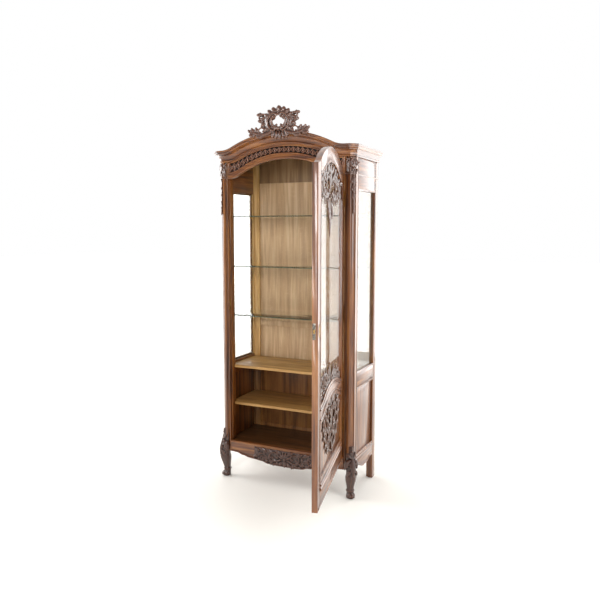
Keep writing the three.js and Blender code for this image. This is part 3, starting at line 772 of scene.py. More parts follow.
def build_posts():
    plan = post_plan()
    for name, sign in (("right", 1), ("left", -1)):
        post = lofted(f"post_shaft_{name}", [[at(sign * x, y, z) for x, y in plan] for z in (178, POST_TOP)])
        for half, low, high in ((1.8, 760, 1897), (6.3, 237, 697)):
            xs = sorted((sign * (444 - half), sign * (444 + half)))
            cut_away(post, (xs[0], 58, low), (xs[1], 70, high))
        if sign < 0:
            cut_away(post, (-401.8, 3.2, 1124.7), (-390, 22, 1195.3))
            cut_away(post, (-414, 5.2, 1145), (-390, 14.8, 1175))
            stop = block("door_stop", (-402, 22.5, 252.3), (-396, POST_DEPTH, 1961.7), 1)
            finish(stop, waxed["up"], "waxed_oak", "carcass", "front_post_left")
        smooth(post)
        finish(post, waxed["up"], "waxed_oak", "carcass", f"front_post_{name}")


# Height, how far the leg's middle has moved out along the diagonal, and its radius
LEG_SECTIONS = (
    (0, 13, 20), (4, 13.5, 25), (11, 14, 27.6), (22, 13.5, 27), (32, 10.5, 23), (40, 9.6, 22),
    (45, 9.4, 26.2), (52, 9.4, 26.2), (57, 9.8, 22), (84, 12, 25.5), (116, 15, 32.5), (140, 17, 35),
    (156, 17.5, 31), (190, 16.5, 30.5), (214, 14, 29.5), (264, 8.4, 28), (300, 5, 27), (335, 3, 25),
)


def leg_at(z):
    """The leg's shift and radius at a height, running smoothly through its sections."""
    table = LEG_SECTIONS
    k = max(i for i, row in enumerate(table) if row[0] <= z or i == 0)
    k = min(k, len(table) - 2)
    before, here, there, after = (table[min(max(i, 0), len(table) - 1)] for i in (k - 1, k, k + 1, k + 2))
    t = (z - here[0]) / (there[0] - here[0])
    values = []
    for column in (1, 2):
        m0 = (there[column] - before[column]) / max(there[0] - before[0], 1) * (there[0] - here[0])
        m1 = (after[column] - here[column]) / max(after[0] - here[0], 1) * (there[0] - here[0])
        values.append(
            (2 * t**3 - 3 * t**2 + 1) * here[column]
            + (t**3 - 2 * t**2 + t) * m0
            + (3 * t**2 - 2 * t**3) * there[column]
            + (t**3 - t**2) * m1
        )
    return values


def on_leg(sign):
    """Draws round a leg: across is round it from its outer corner, up is height, out is off its face."""
    def place(u, v, out):
        shift, radius = leg_at(v)
        angle = math.radians(-45) + u / radius
        reach = radius + out
        return at(
            sign * (431 + shift + reach * math.cos(angle)), 33 - shift + reach * math.sin(angle), v
        )

    return place


def build_legs():
    for name, sign in (("right", 1), ("left", -1)):
        draw = on_leg(sign)
        rings = []
        for z in [0, 3, 7, 12, *range(18, 336, 6)]:
            shift, radius = leg_at(z)
            ring = []
            for angle in steps(0, 350, 35):
                off = math.radians(angle + 45)
                ridge = 1.6 * math.exp(-((off if off < math.pi else off - 2 * math.pi) / 0.3) ** 2)
                square = 0.035 * radius * math.cos(4 * off) if z > 62 else 0
                reach = radius + square + (ridge if 62 < z < 260 else 0)
                ring.append(
                    at(
                        sign * (431 + shift + reach * math.cos(math.radians(angle))),
                        33 - shift + reach * math.sin(math.radians(angle)),
                        z,
                    )
                )
            rings.append(ring)
        parts = [lofted("leg", rings)]
        # Knee: a leaf and a bright boss between two C-scrolls, with a small rosette higher up
        parts.append(leaf(draw, (0, 262), (0, 150), 17, rise=8, curl=2, lobes=4, thick=7))
        parts.append(boss(draw, 0, 202, 4, 9))
        for way in (-1, 1):
            parts += scroll(draw, (way * 23, 198), (15, 27), 90 - way * 60, 90 + way * 170, 5.5, out=5)
            tip = (way * 52, 184)
            parts.append(leaf(draw, (way * 12, 250), tip, 17, way * 9, rise=11, curl=4, lobes=3, thick=9))
            parts.append(leaf(draw, (way * 10, 182), (way * 34, 150), 10, way * 4, rise=7, curl=1, lobes=2))
            parts.append(leaf(draw, (way * 4, 258), (way * 28, 292), 8, -way * 5, rise=4, curl=3, lobes=2))
            parts.append(strap(draw, [(way * 9, z, 0.6) for z in steps(62, 146, 10)], 2.4, 3.4))
        parts.append(boss(draw, 0, 300, 2, 7))
        parts.append(leaf(draw, (0, 300), (0, 326), 7, rise=4, curl=2, lobes=1))
        # Toe: a leaf lapped over the front of the foot between two small scrolls
        parts.append(leaf(draw, (0, 36), (0, 6), 11, rise=3.5, curl=0, lobes=2, thick=4))
        for way in (-1, 1):
            parts += scroll(draw, (way * 17, 19), (8, 11), 90 + way * 150, 90 - way * 40, 2.8, out=0.8)
        leg = carved(f"carved_leg_{name}", parts, 1.7)
        finish(leg, leg_oak, "carved_oak", "carcass", f"front_post_{name}")


# Cornice and frieze

def quarter(count):
    """A quarter turn as pairs of sine and cosine."""
    return [(math.sin(math.radians(t)), math.cos(math.radians(t))) for t in steps(0, 90, count)]


def cornice_section():
    """The cornice from its foot at the frieze to its lip, as reach and height."""
    return [
        (0, 0),
        (9, 0),
        *arc((9.5, 5), (5, 5), -90, 90, 6),
        (12, 11),
        (12, 14),
        *[(34 - 20 * cosine, 14 + 27 * sine) for sine, cosine in quarter(8)],
        (37, 41),
        (37, 44),
        *[(38 + 12 * sine, 44 + 9 * (1 - cosine)) for sine, cosine in quarter(5)],
        (51, 53),
        (51, 56),
        *arc((54.5, 63), (5.3, 6.6), -90, 90, 8),
        (0, 70),
    ]


def cornice_ring(x, y, reach_x, reach_y, lift):
    return [
        at(x + reach / 60 * reach_x, y + reach / 60 * reach_y, CORNICE_BOTTOM + height + lift)
        for reach, height in cornice_section()
    ]


def build_cornice():
    side = (CASE_HALF + 0.3, POST_CANT - 0.1, CORNICE_SIDE, -42, 0)
    corner = (CASE_HALF - POST_CANT + 0.1, -0.3, 7, -CORNICE_FRONT, 0)
    stations = [side, corner]
    for x in steps(410, -410, 56):
        stations.append((x, -0.3, 7 * x / 410, -CORNICE_FRONT, cornice_lift(x)))
    stations += [(-x, y, -dx, dy, lift) for x, y, dx, dy, lift in (corner, side)]
    front = lofted("cornice_front_moulded", [cornice_ring(*station) for station in stations], angle=40)
    finish(front, waxed["right"], "waxed_oak", "carcass", "cornice_front")
    for name, sign in (("right", 1), ("left", -1)):
        ends = [(sign * side[0], side[1] + 0.5, sign * CORNICE_SIDE, -42, 0),
                (sign * side[0], 430, sign * CORNICE_SIDE, 0, 0)]
        piece = lofted(f"cornice_return_{name}_moulded", [cornice_ring(*end) for end in ends])
        finish(piece, waxed["back"], "waxed_oak", "carcass", f"cornice_return_{name}")


def build_frieze():
    board = planed("arched_frieze", 1.2)
    finish(board, waxed["right"], "waxed_oak", "carcass", "arched_frieze")
    front = on_front(0)
    bands = (
        ("opening_bead", [(x, opening_arch(x) + 7) for x in steps(-399, 399, 64)], half_round(8, 4)),
        ("opening_quirk_bead", [(x, opening_arch(x) + 22) for x in steps(-399, 399, 64)], half_round(5, 2.4)),
        ("under_cornice_bead", [(x, lattice_high(x) + 15) for x in steps(-399, 399, 64)], half_round(6, 3)),
    )
    for name, path, section in bands:
        piece = moulding(name, front, path, section)
        finish(piece, waxed["right"], "waxed_oak", "carcass")
    border = [(x, lattice_low(x) - 3.5) for x in steps(-389, 389, 60)]
    border += [(x, lattice_high(x) + 3.5) for x in steps(389, -389, 60)]
    piece = moulding("lattice_border", front, border, half_round(8, 4.5), loop=True)
    finish(piece, waxed["right"], "waxed_oak", "carcass")

    # Lattice: two straps that wave across each other over a near-black ground, painted shadow for the dark
    # seen through the piercings, with a rosette in each eye
    ground = planed("frieze_lattice", 0)
    for vertex in ground.data.vertices:
        vertex.co.y = max(vertex.co.y, FACE_Y + 6.2 * MM)
    finish(ground, lattice_shadow_sheet, "carved_oak", "carcass", "frieze_lattice")
    straps = []
    recess = on_front(8)
    half_pitch = 32
    spots = range(-12, 13)
    for phase in (0, 1):
        path = []
        for k in spots:
            x = half_pitch * k
            path.append((x, lattice_high(x) - 5 if (k + phase) % 2 else lattice_low(x) + 5))
        section = [(-3, -1), (-3, 5), (-1.6, 7.4), (0, 6.6), (1.6, 7.4), (3, 5), (3, -1)]
        straps.append(moulding("strap", recess, path, section))
    for k in spots:
        x = half_pitch * k
        middle = (lattice_low(x) + lattice_high(x)) / 2
        straps.append(leaf(recess, (x, middle - 13), (x, middle + 13), 5, rise=4, curl=0, lobes=1, thick=6))
        straps.append(boss(recess, x, middle, 4, 4.6))
    lattice = joined("lattice_straps", straps)
    smooth(lattice, 50)
    finish(lattice, carving, "carved_oak", "carcass", "frieze_lattice")


def build_crest():
    draw = on_front(-62)
    heart = Vector((5, 2288))
    parts = [strap(draw, [(u, v, 12) for u, v in arc(heart, (52, 43), 0, 360, 40)], 11, 11)]
    parts.append(strap(draw, [(u, v, 22) for u, v in arc(heart, (46, 37), 0, 360, 40)], 4, 4))
    parts.append(strap(draw, [(u, v, 5) for u, v in arc(heart, (80, 60), -28, 208, 40)], 18, 18))
    # Flutes of the shell that rises over the round opening: slope, reach and width
    for slope, reach, width in ((90, 88, 20), (66, 88, 19), (44, 96, 18), (26, 104, 15)):
        for sign in (1, -1) if slope < 90 else (1,):
            way = Vector((sign * math.cos(math.radians(slope)), math.sin(math.radians(slope))))
            root = heart + Vector((way.x * 54, way.y * 44))
            tip = Vector((3 + way.x * reach, 2288 + way.y * reach))
            parts.append(leaf(draw, root, tip, width, -sign * 3, rise=19, curl=4, lobes=1, thick=9))
            rib = [(*root, 21), (*root.lerp(tip, 0.55), 24), (*root.lerp(tip, 0.9), 17)]
            parts.append(strap(draw, rib, 3, 1.6))
    for sign in (1, -1):
        parts += scroll(draw, (3 + sign * 20, 2282), (50, 52), 90 - sign * 10, 90 - sign * 165, 6.5, out=21)
        parts += scroll(draw, (sign * 104, 2314), (24, 19), 90 - sign * 130, 90 + sign * 110, 6.5, out=13)
        # Leaves at the ears: root, tip, width, bend, rise and lobes
        for root, tip, width, bend, rise, lobes in (
            ((100, 2324), (144, 2330), 12, 4, 14, 2),
            ((92, 2300), (136, 2297), 14, -5, 13, 2),
            ((64, 2272), (116, 2262), 16, 7, 15, 3),
        ):
            start, end = (sign * root[0], root[1]), (sign * tip[0], tip[1])
            parts.append(leaf(draw, start, end, width, sign * bend, rise, curl=5, lobes=lobes, thick=9))
        parts.append(strap(draw, [(sign * 70, 2318, 7), (sign * 92, 2312, 9), (sign * 112, 2304, 7)], 14, 10))
        # Inner tips that break the round opening
        parts.append(leaf(draw, (3 + sign * 46, 2302), (3 + sign * 24, 2306), 8, rise=12, lobes=2, thick=8))
        parts.append(leaf(draw, (3 + sign * 24, 2250), (3 + sign * 12, 2270), 9, rise=12, lobes=2, thick=8))
        # Wings that lie along the cornice
        stem = [
            (sign * 30, 2240), (sign * 58, 2222), (sign * 88, 2214), (sign * 118, 2214),
            (sign * 146, 2220), (sign * 170, 2228), (sign * 186, 2226),
        ]
        parts.append(strap(draw, [(u, v, 9) for u, v in stem], 12, 8))
        parts += scroll(draw, (sign * 176, 2232), (17, 15), 90 + sign * 60, 90 - sign * 190, 5.5, out=12)
        parts += scroll(draw, (sign * 112, 2236), (19, 17), 90 + sign * 110, 90 - sign * 150, 5, out=14)
        for root, tip, width in (
            ((72, 2222), (94, 2258), 13), ((124, 2222), (152, 2258), 14), ((150, 2228), (182, 2256), 12),
            ((170, 2232), (206, 2246), 11), ((150, 2218), (200, 2216), 10), ((92, 2210), (150, 2204), 10),
        ):
            start, end = (sign * root[0], root[1]), (sign * tip[0], tip[1])
            parts.append(leaf(draw, start, end, width, -sign * 5, rise=12, curl=6, lobes=2, thick=9))
        tip = (sign * 88, 2232)
        parts.append(leaf(draw, (sign * 30, 2250), tip, 17, sign * 8, rise=18, curl=6, lobes=3, thick=8))
    # Drops that hang over the cornice, rolled forwards at their tips
    for u, tip_u, tip_v in ((-22, -34, 2190), (-8, -12, 2182), (8, 12, 2178), (24, 38, 2180), (38, 62, 2188)):
        tip = (tip_u, tip_v)
        parts.append(leaf(draw, (u, 2240), tip, 11, tip_u * 0.1, rise=16, curl=9, lobes=1, thick=9))
        parts.append(boss(draw, tip_u, tip_v + 7, 18, 7.5))
    parts.append(boss(draw, 3, 2244, 18, 12))
    crest = carved("carved_crest", parts, 1.9)
    finish(crest, carving, "carved_oak", "carcass", "crest")


def fillet(draw, low, high):
    """A plain strip on a face, between two corners given as across, up and out."""
    section = ((low[0], low[2]), (high[0], low[2]), (high[0], high[2]), (low[0], high[2]))
    return lofted("fillet", [[draw(u, v, out) for u, out in section] for v in (low[1], high[1])])


# The leaves of the drop from the top down: height of each one's root, its length and width
DROP_LEAVES = ((1962, 62, 15), (1915, 58, 14), (1872, 58, 12), (1828, 52, 9), (1788, 50, 7))


def build_post_carvings():
    for name, sign in (("right", 1), ("left", -1)):
        draw = on_cant(sign)
        parts = []
        # A shell block under the cornice, then a long drop of leaves
        parts += scroll(draw, (0, 2034), (19, 26), -60, 240, 5, out=8)
        parts.append(leaf(draw, (0, 2058), (0, 2006), 17, rise=8, curl=2, lobes=3, thick=8))
        for angle in (-50, -25, 0, 25, 50):
            tip = Vector((0, 2008)) + bearing(angle) * 46
            parts.append(leaf(draw, (0, 2006), tip, 6, rise=7, curl=3, lobes=1, thick=5))
        parts.append(boss(draw, 0, 2000, 5, 8))
        for way in (1, -1):
            parts += scroll(draw, (way * 13, 2036), (11, 22), 90 - way * 80, 90 - way * 300, 5, out=6)
            parts += scroll(draw, (way * 15, 1996), (8, 18), 90 - way * 100, 90 - way * 280, 4, out=5)
        parts.append(leaf(draw, (0, 2000), (0, 1962), 15, rise=6, curl=5, lobes=3))
        for way in (1, -1):
            parts += scroll(draw, (way * 11, 1982), (8, 14), 90 - way * 90, 90 - way * 280, 3, out=4)
        for top, length, width in DROP_LEAVES:
            parts.append(leaf(draw, (0, top), (0, top - length), width, rise=6, curl=4, lobes=4))
            for way in (1, -1):
                tip = (way * width * 1.1, top - length * 0.72)
                half = width * 0.5
                parts.append(leaf(draw, (0, top - 4), tip, half, -way * 4, rise=5, curl=3, lobes=2, thick=5))
        parts.append(strap(draw, [(0, v, 2) for v in steps(2060, 1744, 30)], 4, 2.5))
        parts.append(fillet(draw, (-19, 1966, 0), (19, 1973, 8)))
        parts.append(fillet(draw, (-19, 2058, 0), (19, 2065, 9)))
        # The bracket's curls on the post's face, towards the opening
        front = on_post_face(sign)
        parts += scroll(front, (423, 2036), (8, 22), 60, 300, 4.5, out=3)
        parts += scroll(front, (423, 1996), (7, 17), 60, 300, 4, out=3)
        parts.append(leaf(front, (428, 2052), (426, 1978), 8, rise=5, curl=2, lobes=3, thick=7))
        parts.append(fillet(front, (404, 1966, -1), (436, 1973, 7)))
        piece = carved(f"carved_drop_{name}", parts, 1.6)
        finish(piece, carving, "carved_oak", "carcass", f"post_carving_{name}")


# Apron

APRON_EDGE = ((399.7, 180), (352, 177), (306, 164), (253, 153), (223, 151), (163, 145), (119, 133), (60, 130))


def apron_low(x):
    """The apron's shaped lower edge, run smoothly through its marks."""
    marks = [*APRON_EDGE, (0, 130)]
    away = min(abs(x), APRON_EDGE[0][0])
    for (x1, z1), (x0, z0) in zip(marks, marks[1:]):
        if x0 <= away <= x1:
            t = (away - x0) / (x1 - x0)
            return z0 + (z1 - z0) * t * t * (3 - 2 * t)
    return marks[-1][1]


def build_apron():
    rings = []
    for x in steps(-399.7, 399.7, 80):
        low = apron_low(x)
        outline = (
            (28, low + 2), (28, APRON_TOP), (4, APRON_TOP), (2, APRON_TOP - 2), (2, low + 1), (4, low),
        )
        rings.append([at(x, y, z) for y, z in outline])
    board = lofted("apron_board", rings)
    finish(board, waxed["right"], "waxed_oak", "carcass", "apron")
    face = on_front(2)
    top = moulding("apron_top_bead", face, [(-399.5, 246.5), (399.5, 246.5)], half_round(9, 2.8))
    finish(top, waxed["right"], "waxed_oak", "carcass")
    for name, start, end in (("right", 222, 399), ("left", -399, -222)):
        path = [(x, apron_low(x) + 5.5) for x in steps(start, end, 20)]
        edge = moulding(f"apron_edge_bead_{name}", face, path, half_round(12, 7))
        finish(edge, leg_oak, "carved_oak", "carcass")

    draw = on_front(2)
    parts = []
    for sign in (1, -1):
        stem = [
            (sign * 26, 176), (sign * 56, 162), (sign * 88, 160), (sign * 116, 172), (sign * 142, 192),
            (sign * 170, 202), (sign * 198, 196), (sign * 212, 182),
        ]
        parts += spray(draw, stem, 6, 9, 34, out=5)
        parts += scroll(draw, (sign * 74, 196), (30, 22), 90 + sign * 120, 90 - sign * 150, 4.5, out=7)
        parts += scroll(draw, (sign * 150, 168), (24, 16), 90 + sign * 100, 90 - sign * 160, 4, out=6)
        parts += scroll(draw, (sign * 196, 208), (18, 16), 90 + sign * 40, 90 - sign * 200, 4, out=6)
        low_stem = [
            (sign * 20, 150), (sign * 52, 144), (sign * 92, 146), (sign * 128, 156), (sign * 166, 164),
            (sign * 206, 172),
        ]
        parts += spray(draw, low_stem, 5, 7, 22, out=4)
        parts.append(leaf(draw, (sign * 20, 200), (sign * 62, 230), 13, sign * 7, rise=8, curl=4, lobes=3))
        parts.append(leaf(draw, (sign * 84, 204), (sign * 128, 230), 13, sign * 6, rise=8, curl=4, lobes=3))
        parts.append(leaf(draw, (sign * 130, 210), (sign * 176, 230), 12, sign * 6, rise=8, curl=4, lobes=3))
        parts.append(leaf(draw, (sign * 190, 176), (sign * 218, 232), 12, sign * 4, rise=8, curl=3, lobes=3))
        parts.append(leaf(draw, (sign * 10, 160), (sign * 34, 136), 11, sign * 4, rise=8, curl=4, lobes=3))
        rim = [(sign * x, apron_low(x) + 5, 4) for x in steps(0, 220, 30)]
        parts.append(strap(draw, rim, 4.5, 4.5))
    for angle in (-64, -38, -14, 14, 38, 64):
        root, tip = (Vector((0, 180)) + bearing(angle) * reach for reach in (8, 48))
        parts.append(leaf(draw, root, tip, 8, rise=9, curl=4, lobes=2))
    parts.append(leaf(draw, (0, 178), (0, 130), 14, rise=9, curl=4, lobes=3))
    slab = []
    for x in steps(-222, 222, 40):
        low = apron_low(x) + 4
        slab.append([draw(x, v, out) for v, out in ((low, -1), (236, -1), (236, 2.5), (low, 2.5))])
    parts.append(lofted("carving_ground", slab))
    parts.append(boss(draw, 0, 182, 5, 10))
    piece = carved("carved_apron", parts, 1.8)
    finish(piece, leg_oak, "carved_oak", "carcass", "apron_carving")


# Sides

SKIRT = ((66.3, 200), (104, 190), (146, 171), (174, 155), (208, 146), (236, 151), (264, 147), (295, 153),
         (324, 168), (353, 171), (381.7, 160))


def build_sides():
    y0, y1 = SIDE_PANE_Y
    for name, sign in (("right", 1), ("left", -1)):
        for rail in ("frieze", "middle", "bottom"):
            piece = planed(f"side_{rail}_rail_{name}", 1.0)
            finish(piece, waxed["back"], "waxed_oak", "carcass", f"side_{rail}_rail_{name}")
        panel = planed(f"side_panel_{name}", 0.8)
        finish(panel, waxed["up"], "waxed_oak", "carcass", f"side_panel_{name}")
        face = on_side(sign)

        for field, low, high, section in (
            ("glass", 770, 1887, ovolo(11, 3.5, -11.5)),
            ("panel", 247, 686, ovolo(13, 3.5, -7)),
        ):
            corners = [(y0, low), (y1, low), (y1, high), (y0, high)]
            frame_round = moulding(f"side_{field}_moulding_{name}", face, corners, section, True)
            finish(frame_round, waxed["up"], "waxed_oak", "carcass")
        astragal = moulding(f"side_astragal_{name}", face, [(y0, 1967), (y1 + 48, 1967)], half_round(9, 4))
        finish(astragal, waxed["back"], "waxed_oak", "carcass")
        bead = moulding(f"side_skirt_bead_{name}", face, [(y0, 232), (y1, 232)], half_round(12, 5))
        finish(bead, waxed["back"], "waxed_oak", "carcass")
        edge = moulding(f"side_skirt_edge_{name}", face, [(y, z + 4) for y, z in SKIRT], half_round(8, 3.5))
        finish(edge, waxed["back"], "waxed_oak", "carcass")


# Inside and back

def back_tone(spot, way):
    """Which of two tones the back has: the second, darker, is painted shade under the middle shelf and is
    also used on its outside.
    """
    return 1 if spot.z < SHELF_MIDDLE * MM or way.y > 0.5 else 0


def build_inside():
    tones = {"back_bottom_rail": low_rail, "back_top_rail": top_rail_shade}
    bars = [f"back_{place}_rail" for place in ("bottom", "middle", "top")]
    bars += ["back_muntin_lower", "back_muntin_upper"]
    panels = [f"back_panel_{bay}_{side}" for bay in ("lower", "upper") for side in ("left", "right")]
    for name in bars + panels:
        board = planed(name, 1.5 if name in bars else 1.0)
        stained_and_shaded(board, (SHELF_MIDDLE,), (tones.get(name, back_board), low_board), back_tone)
        finish(board, None, "inner_oak", "carcass", name)
    for side in ("left", "right"):
        name = f"back_post_{side}"
        post = planed(name, 1.5)

        def tone_at(spot, way, edge=(0.46 if side == "left" else 0.429)):
            """The outer faces and the leg are stained; those inside the case are left golden above the middle
            shelf and take a darker tone below it as painted shade. Front faces count as inside up to the
            edge, which reaches further on the left post, so its outer front is golden as painted light while
            the right post's keeps the stain.
            """
            off = abs(spot.x - MIDDLE_X)
            inwards = way.x * (spot.x - MIDDLE_X) < -0.5 * off or (way.y < -0.5 and off < edge)
            if spot.z < LEG_BLOCK_TOP * MM or not inwards:
                return 0
            return 1 if spot.z > SHELF_MIDDLE * MM else 2

        stained_and_shaded(post, (LEG_BLOCK_TOP, SHELF_MIDDLE), (waxed["up"], golden, low_post), tone_at)
        finish(post, None, "waxed_oak", "carcass", name)
    finish(planed("floor_board", 1.5), floor_oak, "inner_oak", "carcass", "floor_board")
    # Painted shade: the roof board takes the darker low tone
    finish(planed("roof_board", 2), low_rail, "inner_oak", "carcass", "roof_board")
    for name in ("middle_shelf", "lower_shelf"):
        finish(planed(name, 3, 3), inside, "inner_oak", "carcass", name)
    for name in ("upper_glass_shelf", "centre_glass_shelf", "lower_glass_shelf"):
        shelf = planed(name, 0.8)
        shelf.data.materials.append(shelf_pane)
        shelf.data.materials.append(pane_edge)
        for face in shelf.data.polygons:
            face.material_index = 1 if abs(face.normal.z) < 0.5 else 0
        finish(shelf, None, "clear_glass", "carcass", name)
        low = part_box(name)[0].z / MM
        for side in (-1, 1):
            for number, y in enumerate((92, 340)):
                def across(u, v, out, sign=side, depth=y, height=low - 3.4):
                    return at(sign * (430.5 - out), depth + u, height + v)

                profile = ((3, -6), (3, 0.5), (5, 1), (5, 2.6), (3, 3.2), (3, 11), (2.2, 12))
                peg = turned(f"{name}_peg_{'left' if side < 0 else 'right'}_{number}", across, profile, 20)
                finish(peg, brass, "brass", "carcass")
    for name in ("middle_shelf", "lower_shelf"):
        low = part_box(name)[0].z / MM
        for side, sign in (("left", -1), ("right", 1)):
            xs = sorted((sign * 429.8, sign * 412))
            cleat = block(f"{name}_cleat_{side}", (xs[0], 67, low - 18.3), (xs[1], 380, low - 0.3), 2)
            finish(cleat, waxed["back"], "waxed_oak", "carcass")
    for name in ("side_glass_left", "side_glass_right"):
        frame["nodes"][name].data.materials.clear()
        frame["nodes"][name].data.materials.append(side_pane)


# Door

def level_line(half, height):
    return [(-half, height), (half, height)]


def build_door_frame():
    for name, way in (
        ("door_hinge_stile", "up"),
        ("door_lock_stile", "up"),
        ("door_arched_top_rail", "door"),
        ("door_middle_rail", "door"),
        ("door_bottom_rail", "door"),
    ):
        # The lock stile has a thin wall behind its lock, so its edges are eased less.
        ease = 0.8 if name == "door_lock_stile" else 1.6
        finish(planed(name, ease), waxed[way], "waxed_oak", "door", name)
    finish(planed("door_panel", 1.0), waxed["up"], "waxed_oak", "door", "door_panel")
    frame["nodes"]["door_glass"].data.materials.clear()
    frame["nodes"]["door_glass"].data.materials.append(pane)

    face = on_front(DOOR_FRONT)
    xs = steps(-STILE_EDGE, STILE_EDGE, 40)
    round_glass = [(x, middle_rail_top(x)) for x in xs] + [(x, glass_top(x)) for x in reversed(xs)]
    round_panel = level_line(STILE_EDGE, 388)
    round_panel += [(x, middle_rail_bottom(x)) for x in reversed(xs)]
    rail_high = [(x, middle_rail_top(x) - 9) for x in xs]
    rail_low = [(x, middle_rail_bottom(x) + 9) for x in xs]
    pieces = (
        ("door_glass_moulding", round_glass, ovolo(12, 1.0, -15.5), True, "up"),
        ("door_panel_moulding", round_panel, ovolo(18, 1.0, -8.6), True, "up"),
        ("door_rail_bead_high", rail_high, half_round(10, 5), False, "door"),
        ("door_rail_bead_low", rail_low, half_round(10, 5), False, "door"),
        ("door_bottom_band_high", level_line(STILE_EDGE, 372), half_round(12, 6), False, "door"),
        ("door_bottom_band_middle", level_line(STILE_EDGE, 350), half_round(16, 7), False, "door"),
        ("door_bottom_band_low", level_line(DOOR_HALF, 268), half_round(14, 4), False, "door"),
    )
    for name, path, section, loop, way in pieces:
        piece = swung_open(moulding(name, face, path, section, loop))
        finish(piece, waxed[way], "waxed_oak", "door")


def build_door_carvings():
    draw = on_front(DOOR_FRONT + 15.4)
    parts = []
    # Head: a hanging cartouche between two sprays that follow the arch
    for sign in (1, -1):
        stem = [(sign * 30 - 20, 1900), (sign * 90, 1934), (sign * 160, 1932), (sign * 226, 1906),
                (sign * 280, 1868), (sign * 312, 1826)]
        parts += spray(draw, stem, 7, 11, 66, out=4, lobes=4)
        inner = [(sign * 40 - 20, 1840), (sign * 90, 1812), (sign * 150, 1810), (sign * 210, 1822),
                 (sign * 262, 1842)]
        parts += spray(draw, inner, 6, 8, 52, out=4, lobes=3)
        parts += scroll(draw, (sign * 78 - 10, 1872), (52, 44), 90 + sign * 60, 90 - sign * 200, 6, out=6)
        parts += scroll(draw, (sign * 176, 1866), (40, 34), 90 + sign * 80, 90 - sign * 180, 5.5, out=5)
        parts += scroll(draw, (sign * 30 - 22, 1762), (22, 58), 90 - sign * 40, 90 - sign * 170, 5, out=5)
        tip = (sign * 58 - 20, 1712)
        parts.append(leaf(draw, (sign * 14 - 24, 1790), tip, 18, sign * 14, rise=7, lobes=4))
        parts.append(leaf(draw, (sign * 20, 1950), (sign * 80, 1985), 18, -sign * 8, rise=6, lobes=3))
    parts.append(leaf(draw, (-28, 1800), (-40, 1610), 24, 5, rise=7, curl=3, lobes=7))
    parts.append(leaf(draw, (-20, 1840), (-4, 1996), 30, 0, rise=7, curl=3, lobes=6))
    parts.append(boss(draw, -22, 1822, 1, 12))
    head = carved("carved_door_head", parts, 2.1)

    parts = []
    # Waist: leaves that rise over the arched middle rail
    for sign in (1, -1):
        stem = [(sign * x, middle_rail_top(x) + 16) for x in steps(20, 316, 9)]
        parts += spray(draw, stem, 7, 12, 50, out=4, lobes=3)
    upper = [(-40, 846), (-90, 880), (-150, 902), (-214, 900), (-268, 880)]
    parts += spray(draw, upper, 6, 8, 44, out=4)
    upper = [(20, 846), (80, 872), (150, 862), (220, 842), (290, 820)]
    parts += spray(draw, upper, 6, 8, 38, out=4)
    parts += scroll(draw, (-150, 866), (42, 34), 200, -60, 6, out=6)
    parts += scroll(draw, (-250, 860), (34, 34), -20, 230, 5, out=5)
    parts += scroll(draw, (110, 850), (38, 22), -20, 240, 5, out=5)
    parts += scroll(draw, (226, 826), (30, 20), 200, -60, 5, out=5)
    parts.append(leaf(draw, (0, 826), (-36, 924), 26, 6, rise=7, curl=3, lobes=5))
    waist = carved("carved_door_waist", parts, 2.1)

    parts = []
    draw = on_front(DOOR_FRONT + 8.4)
    # Panel: a leafy cartouche drawn down to a point
    for sign in (1, -1):
        outer = [(sign * 20, 446), (sign * 90, 474), (sign * 154, 520), (sign * 208, 580), (sign * 232, 640),
                 (sign * 214, 694), (sign * 150, 716)]
        parts += spray(draw, outer, 7, 14, 46, out=3.5, lobes=3)
        inner = [(sign * 24, 500), (sign * 70, 540), (sign * 112, 590), (sign * 120, 650), (sign * 80, 690)]
        parts += spray(draw, inner, 6, 9, 42, out=3.5)
        parts += scroll(draw, (sign * 70, 640), (46, 54), 90 + sign * 40, 90 - sign * 190, 6, out=5)
        parts += scroll(draw, (sign * 168, 640), (34, 42), 90 + sign * 60, 90 - sign * 190, 5, out=4.5)
        parts += scroll(draw, (sign * 60, 540), (30, 34), 90 + sign * 90, 90 - sign * 150, 5, out=4.5)
        parts.append(leaf(draw, (0, 700), (sign * 96, 738), 20, sign * 8, rise=6, lobes=4))
    parts.append(leaf(draw, (6, 520), (20, 420), 20, 0, rise=6, lobes=5))
    parts.append(leaf(draw, (0, 560), (0, 700), 34, 0, rise=7, lobes=5))
    parts.append(boss(draw, 0, 548, 1, 12))
    panel = carved("carved_door_panel", parts, 2.1)
    for piece, replaced in ((head, "door_head_carving"), (waist, "door_waist_carving"),
                            (panel, "door_panel_carving")):
        finish(swung_open(piece), door_carving, "carved_oak", "door", replaced)


# Metalwork

# The turned ends of a hinge, as radius and height
HINGE_FOOT = ((1.5, 0), (3.4, 1), (4.3, 3), (3.2, 5), (2.6, 5.6), (6, 7), (6, 9))
HINGE_CAP = ((6, -2), (6, 0), (2.6, 1.2), (3.2, 2), (4.2, 3.8), (3.4, 5.8), (1.2, 7))


